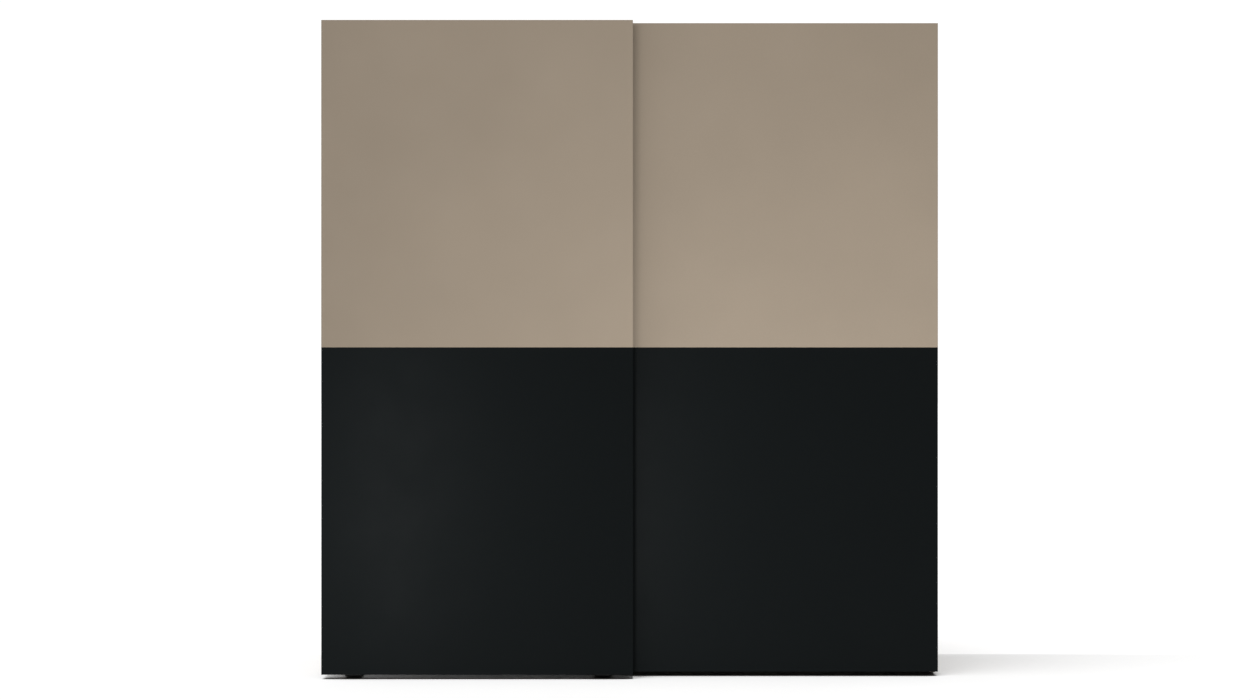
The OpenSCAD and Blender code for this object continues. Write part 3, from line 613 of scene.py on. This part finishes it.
for d in DOORS:
    CAD_LOOKS[f"{d}_upper_panel"] = (door_mats[d, "upper"], 0.7)
    CAD_LOOKS[f"{d}_lower_panel"] = (door_mats[d, "lower"], 0.7)
    CAD_LOOKS[f"{d}_stiffeners"] = (upright_mat, 0.25)
    CAD_LOOKS[f"{d}_joint_plates"] = (zinc_mat, 0.4)
    CAD_LOOKS[f"{d}_axles"] = (zinc_mat, 0.35)

for name, (material, ease) in CAD_LOOKS.items():
    o = nodes[name]
    o.data.materials.clear()
    o.data.materials.append(material)
    if ease:
        weld = o.modifiers.new("joined_corners", "WELD")
        weld.merge_threshold = 1e-6
        add_bevel(o, ease * MM, segments=3 if "door" in name else 2, angle=40.0)

# ---------------------------------------------------------------- screws

# How far the hangers' bolts stand out of the arms, so that their heads show.
SCREW_PROUD = 0.3 * MM
# About the middle of a bay, to either side of the partition.
BAY_MID = 0.5


def screw_piece(node, name, body, rule):
    """Replaces a node of plain CAD screws by ones with cross recesses, at the same places."""
    bm = bmesh.new()
    for lo, hi in islands(node):
        rule(bm, lo, hi)
    return finish_piece(name, bm, [zinc_mat], body, replaces=[node], angle=28.0)


def axis_of(lo, hi):
    size = hi - lo
    return max(range(3), key=lambda i: size[i])


def carcass_screw(bm, lo, hi):
    """A screw of the top track, the bottom track, a wall bracket or a rail socket, in that order."""
    mid = (lo + hi) / 2
    upright = axis_of(lo, hi) == 2
    if upright and hi.z > CARCASS_TOP + 2.5 * MM and mid.y < 0:
        flush_screw(bm, Vector((mid.x, mid.y, hi.z)), UP, any_turn(), hi.z - lo.z)
    elif upright and mid.y < 0:
        flush_screw(bm, Vector((mid.x, mid.y, lo.z)), DOWN, any_turn(), hi.z - lo.z)
    elif upright:
        pan_screw(bm, Vector((mid.x, mid.y, hi.z - HEAD_H)), UP, any_turn(), hi.z - lo.z - HEAD_H)
    else:
        inward = RIGHT if mid.x < math.copysign(BAY_MID, mid.x) else LEFT
        seat_x = hi.x - HEAD_H if inward.x > 0 else lo.x + HEAD_H
        pan_screw(bm, Vector((seat_x, mid.y, mid.z)), inward, any_turn(), hi.x - lo.x - HEAD_H)


def door_screw(bm, lo, hi):
    """A pan head on a door's back, or a hanger's bolt with its nut below."""
    mid = (lo + hi) / 2
    if axis_of(lo, hi) == 1:
        pan_screw(bm, Vector((mid.x, hi.y - HEAD_H, mid.z)), BACK, any_turn(), hi.y - lo.y - HEAD_H)
        return
    flush_screw(bm, Vector((mid.x, mid.y, hi.z)), UP, any_turn(), hi.z - lo.z)
    nut_r, nut_h = 3.5 * MM, 2.95 * MM
    nut = [(0.0, 0.0), (nut_r * 0.86, 0.0), (nut_r, 0.4 * MM), (nut_r, 2.6 * MM), (nut_r * 0.9, nut_h),
           (0.0, nut_h)]
    lathe(bm, nut, Vector((mid.x, mid.y, lo.z + 0.02 * MM)), UP, 6)


screw_piece("carcass_screws", "carcass_cross_head_screws", "carcass", carcass_screw)
for d in DOORS:
    screw_piece(f"{d}_screws", f"{d}_cross_head_screws", d, door_screw)

# ---------------------------------------------------------------- hangers, carriages and brackets


STEEL_T, PLATE_T = 3 * MM, 4 * MM
CARRIER_W, BRACKET_W = 124 * MM, 50 * MM


def gusset(bm, x, reach, y, z, inside, sign):
    """A welded gusset under a front hanger's arm, with a bead of weld along its inner face.

    inside is the X of that face, and sign is the way it faces.
    """
    foot, nose = 46 * MM, 4 * MM
    shape = [(0.5 * MM, -foot), (reach * 0.45, -foot / 2), (reach - nose, -5 * MM), (reach, -0.2 * MM),
             (0.5 * MM, -0.2 * MM)]
    prism(bm, shape, Vector((x, y, z)), ALONG_X, PLATE_T)
    bead = [(0, 0), (1.8 * MM * sign, 0), (0, -1.8 * MM)]
    prism(bm, bead, Vector((inside, y + 2 * MM, z)), ALONG_Y, reach - 6 * MM)


def hanger_piece(d):
    """Pressed steel hangers: round bends, pressed ribs in the leg and, in front, welded gussets."""
    lo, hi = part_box(f"{d}_hangers")
    hi.z -= SCREW_PROUD
    t = STEEL_T - SCREW_PROUD
    face = DOOR_BOX[d][1].y
    bm = bmesh.new()
    for x0 in (lo.x, hi.x - CARRIER_W):
        outline = angle_outline((face, lo.z), (face, hi.z), (hi.y, hi.z), t, 2.0 * MM)
        prism(bm, outline, Vector((x0, 0, 0)), ALONG_X, CARRIER_W)
        for x in (x0 + 30 * MM, x0 + CARRIER_W / 2, x0 + CARRIER_W - 30 * MM):
            rib(bm, x, face + t, lo.z + 6 * MM, hi.z - t - 5 * MM, 2.2 * MM, 0.55)
        if d == "left_door":
            reach = DOOR_BOX["right_door"][0].y - face - 18 * MM
            gusset(bm, x0, reach, face + t, hi.z - t, x0 + PLATE_T, 1)
            last = x0 + CARRIER_W - PLATE_T
            gusset(bm, last, reach, face + t, hi.z - t, last, -1)
    return finish_piece(f"{d}_pressed_hangers", bm, [zinc_mat], d, replaces=[f"{d}_hangers"],
                        bevel=0.35 * MM)


def carriage_piece(d):
    """Powder-coated angles with a round bend, and a skirt cut away between the wheels."""
    lo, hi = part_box(f"{d}_carriages")
    bend, lip, end, lift = 4 * MM, 1.5 * MM, 3 * MM, 2.6 * MM
    bm = bmesh.new()
    outline = [(lo.y, lo.z + end)] + arc(lo.y + bend, hi.z - bend, bend, 180, 90, 6) \
        + [(hi.y - 1 * MM, hi.z), (hi.y, hi.z - 1 * MM), (hi.y, hi.z - STEEL_T),
           (lo.y + PLATE_T + lip, hi.z - STEEL_T), (lo.y + PLATE_T, hi.z - STEEL_T - lip),
           (lo.y + PLATE_T, lo.z + end)]
    left_half = [(56 * MM, lift), (48 * MM, 0), (14 * MM, 0)]
    right_half = [(CARRIER_W - a, b) for a, b in reversed(left_half)]
    skirt = [(end, end), (CARRIER_W - end, end)] + right_half + left_half
    for x0 in (lo.x, hi.x - CARRIER_W):
        for x, length in ((x0 + end, CARRIER_W - 2 * end), (x0, end), (x0 + CARRIER_W - end, end)):
            prism(bm, outline, Vector((x, 0, 0)), ALONG_X, length)
        prism(bm, skirt, Vector((x0, lo.y, lo.z)), ALONG_Y, PLATE_T)
    return finish_piece(f"{d}_angle_carriages", bm, [coat_mat], d,
                        replaces=[f"{d}_carriages"], bevel=0.3 * MM)


def guide_bracket_piece(d):
    """Bent, powder-coated steel brackets whose foot carries the guide roller's pin."""
    lo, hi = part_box(f"{d}_guide_brackets")
    face = DOOR_BOX[d][1].y
    bm = bmesh.new()
    for x0 in (lo.x, hi.x - BRACKET_W):
        outline = angle_outline((face, hi.z), (face, lo.z), (hi.y, lo.z), STEEL_T, 1.5 * MM)
        prism(bm, outline, Vector((x0, 0, 0)), ALONG_X, BRACKET_W)
        for x in (x0 + 8 * MM, x0 + BRACKET_W - 8 * MM):
            rib(bm, x, face + STEEL_T, lo.z + 7 * MM, hi.z - 4 * MM, 1.8 * MM, 0.5)
    return finish_piece(f"{d}_bent_guide_brackets", bm, [coat_mat], d,
                        replaces=[f"{d}_guide_brackets"], bevel=0.35 * MM)


for d in DOORS:
    hanger_piece(d)
    carriage_piece(d)
    guide_bracket_piece(d)

# ---------------------------------------------------------------- wheels and rollers


BORE_R = 3.05 * MM


def wheel_piece(d, i):
    """A grooved nylon tyre on a shielded ball bearing, with a ring of moulded pips on each side."""
    node = f"{d}_wheel_{i}"
    lo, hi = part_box(node)
    centre = (lo + hi) / 2
    outer, half = (hi.x - lo.x) / 2, (hi.y - lo.y) / 2
    deep, groove, ease = 3 * MM, 3.4 * MM, 0.6 * MM
    tread = outer - deep
    hub_r, shield_r, seat_r = 4.9 * MM, 7.0 * MM, 8.6 * MM
    reach = math.sqrt(groove ** 2 - (groove - deep) ** 2)
    bm = bmesh.new()
    tyre = [(seat_r, -half), (outer - ease, -half), (outer, -half + ease)]
    for k in range(11):
        y = -reach + 2 * reach * k / 10
        tyre.append((tread + groove - math.sqrt(groove ** 2 - y ** 2), y))
    tyre += [(outer, half - ease), (outer - ease, half), (seat_r, half)]
    lathe(bm, tyre, centre, BACK, 64, closed=True, material=0)
    race = [(shield_r, -half + 0.6 * MM), (shield_r + 0.1 * MM, -half + 0.3 * MM),
            (seat_r, -half + 0.3 * MM)]
    shield = [(hub_r, -half + 0.75 * MM), (hub_r + 0.7 * MM, -half + 0.95 * MM),
              (shield_r - 0.5 * MM, -half + 0.95 * MM), (shield_r, -half + 0.7 * MM)]
    hub = [(BORE_R, -half + 0.15 * MM), (hub_r - 0.2 * MM, -half + 0.15 * MM), (hub_r, -half + 0.35 * MM)]
    for profile, material in ((race, 1), (shield, 2), (hub, 1)):
        lathe(bm, mirrored(profile), centre, BACK, 48, closed=True, material=material)
    pip = [(0.0, 0.35 * MM), (0.55 * MM, 0.3 * MM), (0.75 * MM, 0.0), (0.75 * MM, -0.4 * MM)]
    pip_ring_r = 11.1 * MM
    for side in (-1, 1):
        for k in range(12):
            a = math.radians(30 * k)
            at = centre + Vector((math.cos(a) * pip_ring_r, side * half, math.sin(a) * pip_ring_r))
            lathe(bm, pip, at, Vector((0, side, 0)), 12)
    return finish_piece(f"{node}_tyre_and_bearing", bm, [nylon_mat, steel_mat, black_mat], node,
                        replaces=[node], angle=30.0)


def roller_piece(d, i):
    """A small crowned roller with a stepped hub."""
    node = f"{d}_guide_roller_{i}"
    lo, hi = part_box(node)
    centre = (lo + hi) / 2
    r, half = (hi.x - lo.x) / 2, (hi.z - lo.z) / 2
    bm = bmesh.new()
    body = [(5.2 * MM, -half + 0.6 * MM), (5.4 * MM, -half + 0.1 * MM), (r - 1.0 * MM, -half),
            (r - 0.3 * MM, -half + 0.3 * MM), (r, -half + 1.1 * MM)]
    hub = [(BORE_R, -half), (4.9 * MM, -half), (5.2 * MM, -half + 0.4 * MM)]
    lathe(bm, mirrored(body), centre, UP, 48, closed=True, material=0)
    lathe(bm, mirrored(hub), centre, UP, 40, closed=True, material=1)
    return finish_piece(f"{node}_crowned", bm, [nylon_mat, steel_mat], node, replaces=[node])


for d in DOORS:
    for i in range(1, 5):
        wheel_piece(d, i)
    for i in range(1, 3):
        roller_piece(d, i)

# ---------------------------------------------------------------- dust brushes


PILE = 12 * MM
TUFT_PITCH = 1.25 * MM
CORNERS = ((-1, -1), (1, -1), (1, 1), (-1, 1))


def brush_piece(d):
    """An extruded carrier with a lipped channel, and a pile of separate tufts."""
    lo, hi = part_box(f"{d}_brush")
    face = DOOR_BOX[d][1].y
    total = hi.y - face
    carrier = max(3 * MM, total - PILE)
    width = hi.x - lo.x
    bm = bmesh.new()
    ease, chamfer, lip, channel = 0.4 * MM, 0.5 * MM, 2.6 * MM, 1.4 * MM
    grooves = []
    if carrier > PILE:
        for at in (7 * MM, 15 * MM, 23 * MM):
            grooves += [(width, at), (width - 0.6 * MM, at + 0.5 * MM), (width - 0.6 * MM, at + 1.3 * MM),
                        (width, at + 1.8 * MM)]
    shape = [(ease, 0), (width - ease, 0), (width, ease)] + grooves \
        + [(width, carrier - chamfer), (width - chamfer, carrier), (width - lip, carrier),
           (width - lip, carrier - channel), (lip, carrier - channel), (lip, carrier), (chamfer, carrier),
           (0, carrier - chamfer), (0, ease)]
    prism(bm, shape, Vector((lo.x, face, lo.z)), ALONG_Z, hi.z - lo.z)
    own = random.Random(11 if d == "left_door" else 12)
    mid_x = (lo.x + hi.x) / 2
    z = lo.z + TUFT_PITCH
    while z < hi.z - TUFT_PITCH:
        lean_x, lean_z = own.uniform(-0.4, 0.4) * MM, own.uniform(-0.4, 0.4) * MM
        length = total - (carrier - 1.3 * MM) - own.uniform(0.0, 0.6) * MM
        foot = Vector((mid_x + own.uniform(-0.15, 0.15) * MM, face + carrier - channel, z))
        tip = foot + Vector((lean_x, length, lean_z))
        low = [bm.verts.new(foot + Vector((a * 1.15 * MM, 0, b * 0.62 * MM))) for a, b in CORNERS]
        top = [bm.verts.new(tip + Vector((a * 1.4 * MM, own.uniform(-0.3, 0.0) * MM, b * 0.56 * MM)))
               for a, b in CORNERS]
        for k in range(4):
            n = (k + 1) % 4
            bm.faces.new([low[k], low[n], top[n], top[k]]).material_index = 1
        bm.faces.new(top).material_index = 1
        bm.faces.new(low[::-1]).material_index = 1
        z += TUFT_PITCH
    return finish_piece(f"{d}_dust_brush", bm, [black_mat, pile_mat], d,
                        replaces=[f"{d}_brush"])


for d in DOORS:
    brush_piece(d)

# ---------------------------------------------------------------- end stops, feet and wall brackets


def end_stop_piece():
    """Moulded stops with side ribs and a rubber buffer towards the carriage."""
    bm = bmesh.new()
    base_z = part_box("track_end_stops")[0].z
    bead_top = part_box("top_track")[1].z - base_z + 0.15 * MM
    slot, shoulder, buffer_len, buffer_r = 3.3 * MM, 4 * MM, 4 * MM, 8 * MM
    cushion = [(0.0, buffer_len), (buffer_r * 0.7, buffer_len), (buffer_r * 0.92, buffer_len - 0.5 * MM),
               (buffer_r, buffer_len - 1.4 * MM), (buffer_r, 1.2 * MM), (buffer_r + 1 * MM, 0.8 * MM),
               (buffer_r + 1 * MM, -0.2 * MM), (0.0, -0.2 * MM)]
    for lo, hi in islands("track_end_stops"):
        mid = (lo + hi) / 2
        half_w = (hi.y - lo.y) / 2
        height = hi.z - base_z
        profile = [(-half_w, 0), (-slot, 0), (-slot, bead_top), (slot, bead_top), (slot, 0), (half_w, 0),
                   (half_w, height - shoulder), (half_w - shoulder, height), (-half_w + shoulder, height),
                   (-half_w, height - shoulder)]
        on_right = mid.x > 0
        x0, x1 = (lo.x + buffer_len, hi.x) if on_right else (lo.x, hi.x - buffer_len)
        prism(bm, profile, Vector((x0, mid.y, base_z)), ALONG_X, x1 - x0)
        at = Vector((x0 if on_right else x1, mid.y, hi.z - 13 * MM))
        lathe(bm, cushion, at, LEFT if on_right else RIGHT, 32, material=1)
        for k in range(3):
            rx = x0 + (x1 - x0) * (0.22 + 0.28 * k)
            for y in (lo.y, hi.y - 1 * MM):
                box(bm, (rx - 0.9 * MM, y, base_z + 2 * MM), (rx + 0.9 * MM, y + 1 * MM, hi.z - 7 * MM))
    return finish_piece("track_end_stops_moulded", bm, [black_mat, rubber_mat], "carcass",
                        replaces=["track_end_stops"], bevel=0.4 * MM)


def end_stop_screws():
    """Clamp screws with a six-sided socket, sunk into the tops of the end stops."""
    bm = bmesh.new()
    profile = [(0.0, -2.2 * MM), (2.3 * MM, -2.2 * MM), (2.6 * MM, -0.2 * MM), (3.6 * MM, -0.2 * MM),
               (4.4 * MM, -0.2 * MM), (4.4 * MM, -0.05 * MM), (4.2 * MM, 0.0), (2.35 * MM, 0.0),
               (2.2 * MM, -1.9 * MM), (0.0, -1.9 * MM)]
    for lo, hi in islands("track_end_stops"):
        mid = (lo + hi) / 2
        lathe(bm, profile, Vector((mid.x, mid.y, hi.z)), UP, 6)
    return finish_piece("track_end_stop_clamp_screws", bm, [zinc_mat], "carcass")


def feet_piece():
    """Levelling glides with a knurled rim and a threaded stem."""
    bm = bmesh.new()
    sides, knurl_depth, stem_r, stem_top = 72, 0.55 * MM, 2.9 * MM, 27.9 * MM
    stem = [(0.0, 6.5 * MM), (stem_r, 6.5 * MM)]
    for z in range(7, 27):
        stem += [(stem_r, z * MM), (stem_r - 0.5 * MM, (z + 0.5) * MM)]
    stem += [(2.3 * MM, stem_top), (0.0, stem_top)]
    for lo, hi in islands("levelling_feet"):
        r = (hi.x - lo.x) / 2
        is_stem = r < 5 * MM
        if is_stem:
            continue
        centre = Vector(((lo.x + hi.x) / 2, (lo.y + hi.y) / 2, 0.0))
        rings = []
        for radius, z, depth in (
                (r - 1.5 * MM, 0.0, 0), (r - 0.5 * MM, 0.5 * MM, 0), (r - 0.4 * MM, 2.2 * MM, 0),
                (r, 2.8 * MM, knurl_depth), (r, 6.2 * MM, knurl_depth), (r - 0.6 * MM, 7.0 * MM, 0),
                (r - 2.2 * MM, 7.7 * MM, 0), (3.6 * MM, 7.9 * MM, 0)):
            ring = []
            for k in range(sides):
                a = 2 * math.pi * k / sides
                at = radius - (depth if k % 4 in (2, 3) else 0)
                ring.append(bm.verts.new(centre + Vector((math.cos(a) * at, math.sin(a) * at, z))))
            rings.append(ring)
        for a, b in zip(rings, rings[1:]):
            for k in range(sides):
                n = (k + 1) % sides
                bm.faces.new([a[k], a[n], b[n], b[k]])
        bm.faces.new(rings[0][::-1])
        bm.faces.new(rings[-1])
        lathe(bm, stem, centre, UP, 24, material=1)
    return finish_piece("levelling_glides", bm, [black_mat, zinc_mat], "carcass",
                        replaces=["levelling_feet"])


def holed_plate(bm, origin, directions, thickness, outline, holes, hole_r):
    """A flat plate with round holes, in the plane of the first two directions."""
    u, v, w = directions
    loops = []
    for points in [outline] + [arc(x, y, hole_r, 0, 360, 32)[:-1] for x, y in holes]:
        near = [bm.verts.new(origin + u * a + v * b) for a, b in points]
        loops.append((near, [bm.verts.new(p.co + w * thickness) for p in near]))
    for side in (0, 1):
        edges = []
        for pair in loops:
            ring = pair[side]
            edges += [bm.edges.new((ring[k], ring[(k + 1) % len(ring)])) for k in range(len(ring))]
        bmesh.ops.triangle_fill(bm, use_beauty=True, use_dissolve=False, edges=edges)
    for near, far in loops:
        for k in range(len(near)):
            n = (k + 1) % len(near)
            bm.faces.new([near[k], near[n], far[n], far[k]])


def wall_bracket_piece():
    """Bent angle brackets with a round bend, rounded corners and an open wall hole."""
    bm = bmesh.new()
    t, bend, corner = 2 * MM, 1.5 * MM, 5 * MM

    def leg(half, length):
        """One leg's outline in its own plane, from the bend to its rounded end."""
        return [(-half, 0.0), (half, 0.0)] + arc(half - corner, length - corner, corner, 0, 90, 6) \
            + arc(-half + corner, length - corner, corner, 90, 180, 6)

    for lo, hi in islands("wall_brackets"):
        mid_x = ((lo + hi) / 2).x
        half = (hi.x - lo.x) / 2
        back, bottom = hi.y, lo.z
        holed_plate(bm, Vector((mid_x, back - t, bottom + bend + t)), ALONG_Y, t,
                    leg(half, hi.z - bottom - bend - t), [(0.0, 28 * MM - bend - t)], 3.25 * MM)
        holed_plate(bm, Vector((mid_x, back - bend - t, bottom)), (RIGHT, FRONT, UP), t,
                    leg(half, back - lo.y - bend - t), [(x, 26 * MM - bend - t) for x in (-8 * MM, 8 * MM)],
                    2.05 * MM)
        outer = arc(back - bend - t, bottom + bend + t, bend + t, -90, 0, 8)
        inner = arc(back - bend - t, bottom + bend + t, bend, 0, -90, 8)
        prism(bm, outer + inner, Vector((mid_x - half, 0, 0)), ALONG_X, 2 * half)
    return finish_piece("wall_angle_brackets", bm, [zinc_mat], "carcass",
                        replaces=["wall_brackets"], angle=35.0)


end_stop_piece()
end_stop_screws()
feet_piece()
wall_bracket_piece()

# ---------------------------------------------------------------- floor, light and camera


# How far the floor reaches, where the wall would stand, and how softly the floor's masks of painted shadow
# end.
FAR = 40.0
WALL_Y = CARCASS_BACK + 10 * MM
FADE = 12 * MM


def floor_material(name, glow):
    """A pale studio floor, very slightly mottled.

    Its glow is cut off under the wardrobe and close beneath a door, and its colour turns dark where
    something stands close above it: painted shadow.
    """
    s = Shader(name)
    # The wardrobe's footprint, out to the doors' front faces: there the glow is cut off, as painted shadow.
    front = s.remap(s.part("X"), left_hi.x - MM, left_hi.x + MM, FRONT_Y, right_lo.y)
    painted_shadow_footprint = s.remap(s.math("SUBTRACT", s.part("Y"), front), 0.0, FADE, 0.0, 1.0)
    for axis, start, end, before, after in (("Y", WALL_Y - FADE, WALL_Y, 1.0, 0.0),
                                            ("X", left_lo.x, left_lo.x + FADE, 0.0, 1.0),
                                            ("X", right_hi.x - FADE, right_hi.x, 1.0, 0.0)):
        painted_shadow_footprint = s.math("MULTIPLY", painted_shadow_footprint, s.remap(s.part(axis), start, end, before, after))
    # Where something stands close above the floor, its glow goes out: painted contact shadow.
    overhead = s.node("ShaderNodeAmbientOcclusion", samples=16)
    overhead.inputs["Distance"].default_value = 0.1
    shaded = s.remap(overhead.outputs["AO"], 0.4, 0.6, 1.0, 0.0)
    lit = s.math("SUBTRACT", 1.0, s.math("MAXIMUM", painted_shadow_footprint, shaded))
    s.feed(s.bsdf.inputs["Emission Strength"], s.math("MULTIPLY", lit, glow))
    cloud = s.noise(0.8, 3.0)
    colour = s.mix(s.spread(cloud), (0.84, 0.84, 0.84, 1), (0.87, 0.87, 0.87, 1))
    # Painted contact shadow: the colour turns dark grey-brown close under things.
    colour = s.mix(shaded, colour, (0.16, 0.15, 0.14, 1))
    return s.done(colour, s.spread(cloud, 0.7, 0.8), s.bump(s.noise(300.0, 2.0), 0.05, 0.3 * MM),
                  Emission_Color=(1.0, 1.0, 1.0, 1.0))


def floor_sheet(name, y0, y1, material):
    bm = bmesh.new()
    bm.faces.new([bm.verts.new((x, y, 0)) for x, y in ((-FAR, y0), (FAR, y0), (FAR, y1), (-FAR, y1))])
    mesh = bpy.data.meshes.new(name)
    bm.to_mesh(mesh)
    bm.free()
    mesh.materials.append(material)
    obj = bpy.data.objects.new(name, mesh)
    bpy.context.scene.collection.objects.link(obj)
    obj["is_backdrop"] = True
    return obj

floor_sheet("studio_floor", -FAR, WALL_Y, floor_material("studio_floor_paper", glow=0.36))
floor_sheet("studio_floor_behind", WALL_Y, FAR, floor_material("studio_floor_paper_behind", glow=0.55))


def background(tree, strength):
    made = tree.nodes.new("ShaderNodeBackground")
    made.inputs["Color"].default_value = (1.0, 1.0, 1.0, 1.0)
    made.inputs["Strength"].default_value = strength
    return made.outputs[0]


# The world is white where the camera sees it, and dimmer as light.
world = bpy.data.worlds.new("white_studio")
bpy.context.scene.world = world
world.use_nodes = True
tree = world.node_tree
tree.nodes.remove(tree.nodes["Background"])
choice = tree.nodes.new("ShaderNodeMixShader")
tree.links.new(tree.nodes.new("ShaderNodeLightPath").outputs["Is Camera Ray"], choice.inputs[0])
tree.links.new(background(tree, strength=0.22), choice.inputs[1])
tree.links.new(background(tree, strength=1.05), choice.inputs[2])
tree.links.new(choice.outputs[0], tree.nodes["World Output"].inputs["Surface"])


def add_light(data, aim, place=(0, 0, 0)):
    """A lamp at a place, shining along a direction."""
    obj = bpy.data.objects.new(data.name, data)
    obj.location = place
    obj.rotation_euler = Vector(aim).to_track_quat("-Z", "Y").to_euler()
    bpy.context.scene.collection.objects.link(obj)
    return obj


def soft_sun(name, direction, angle, strength):
    """A broad, even light that shines along a direction."""
    data = bpy.data.lights.new(name, "SUN")
    data.energy = strength
    data.angle = math.radians(angle)
    return add_light(data, direction)


def area_light(name, place, aim, size, power):
    data = bpy.data.lights.new(name, "AREA")
    data.shape = "RECTANGLE"
    data.size, data.size_y = size
    data.energy = power
    return add_light(data, Vector(aim) - Vector(place), place)


def link_light(lamp, name, ending, state):
    """Limits a lamp to the pieces with such an ending, or keeps it off them."""
    group = bpy.data.collections.new(name)
    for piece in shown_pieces():
        if piece.name.endswith(ending):
            group.objects.link(piece)
    for item in group.collection_objects:
        item.light_linking.link_state = state
    lamp.light_linking.receiver_collection = group


# The key leaves the doors out, so that the front door keeps its narrow dark line on the rear one.
# The doors are lit by lamps of their own from the front.
key = soft_sun("key_from_above_left", direction=(0.27, 0.34, -1.0), angle=52.0, strength=2.15)
link_light(key, "doors_out_of_the_key", ("_upper_panel", "_lower_panel"), "EXCLUDE")
front_light = soft_sun("front_light_from_left", direction=(0.21, 1.0, -0.05), angle=22.0, strength=1.3)
link_light(front_light, "doors_in_the_front_light", "_upper_panel", "INCLUDE")
fill = area_light("low_fill_from_front_right", place=(0.62, FRONT_Y - 1.85, 0.22), aim=(0.25, FRONT_Y, 1.2),
                  size=(1.0, 0.6), power=38.0)
link_light(fill, "doors_in_the_fill", "_upper_panel", "INCLUDE")
LOW_LAMP_Z = 0.56
for d, lamp_x, power in (("left_door", -0.86, 3.2), ("right_door", -0.12, 3.7)):
    strip = area_light(f"{d}_low_light", place=(lamp_x, FRONT_Y - 0.9, LOW_LAMP_Z),
                       aim=(lamp_x, FRONT_Y, LOW_LAMP_Z), size=(0.12, 1.0), power=power)
    strip.visible_camera = False
    link_light(strip, f"{d}_in_its_low_light", f"{d}_lower_panel", "INCLUDE")

EYE_X, EYE_Z = -0.020, 1.0788
CAMERA_DISTANCE = 7.865
FOCAL_LENGTH = 69.15
camera_data = bpy.data.cameras.new("studio_camera")
camera = bpy.data.objects.new("studio_camera", camera_data)
bpy.context.scene.collection.objects.link(camera)
camera.location = (EYE_X, FRONT_Y - CAMERA_DISTANCE, EYE_Z)
camera.rotation_euler = (math.radians(90), 0, 0)
camera_data.sensor_width = 36.0
camera_data.lens = FOCAL_LENGTH
camera_data.clip_end = 200.0
bpy.context.scene.camera = camera
bpy.context.scene.view_settings.view_transform = "Standard"
bpy.context.scene.view_settings.look = "None"
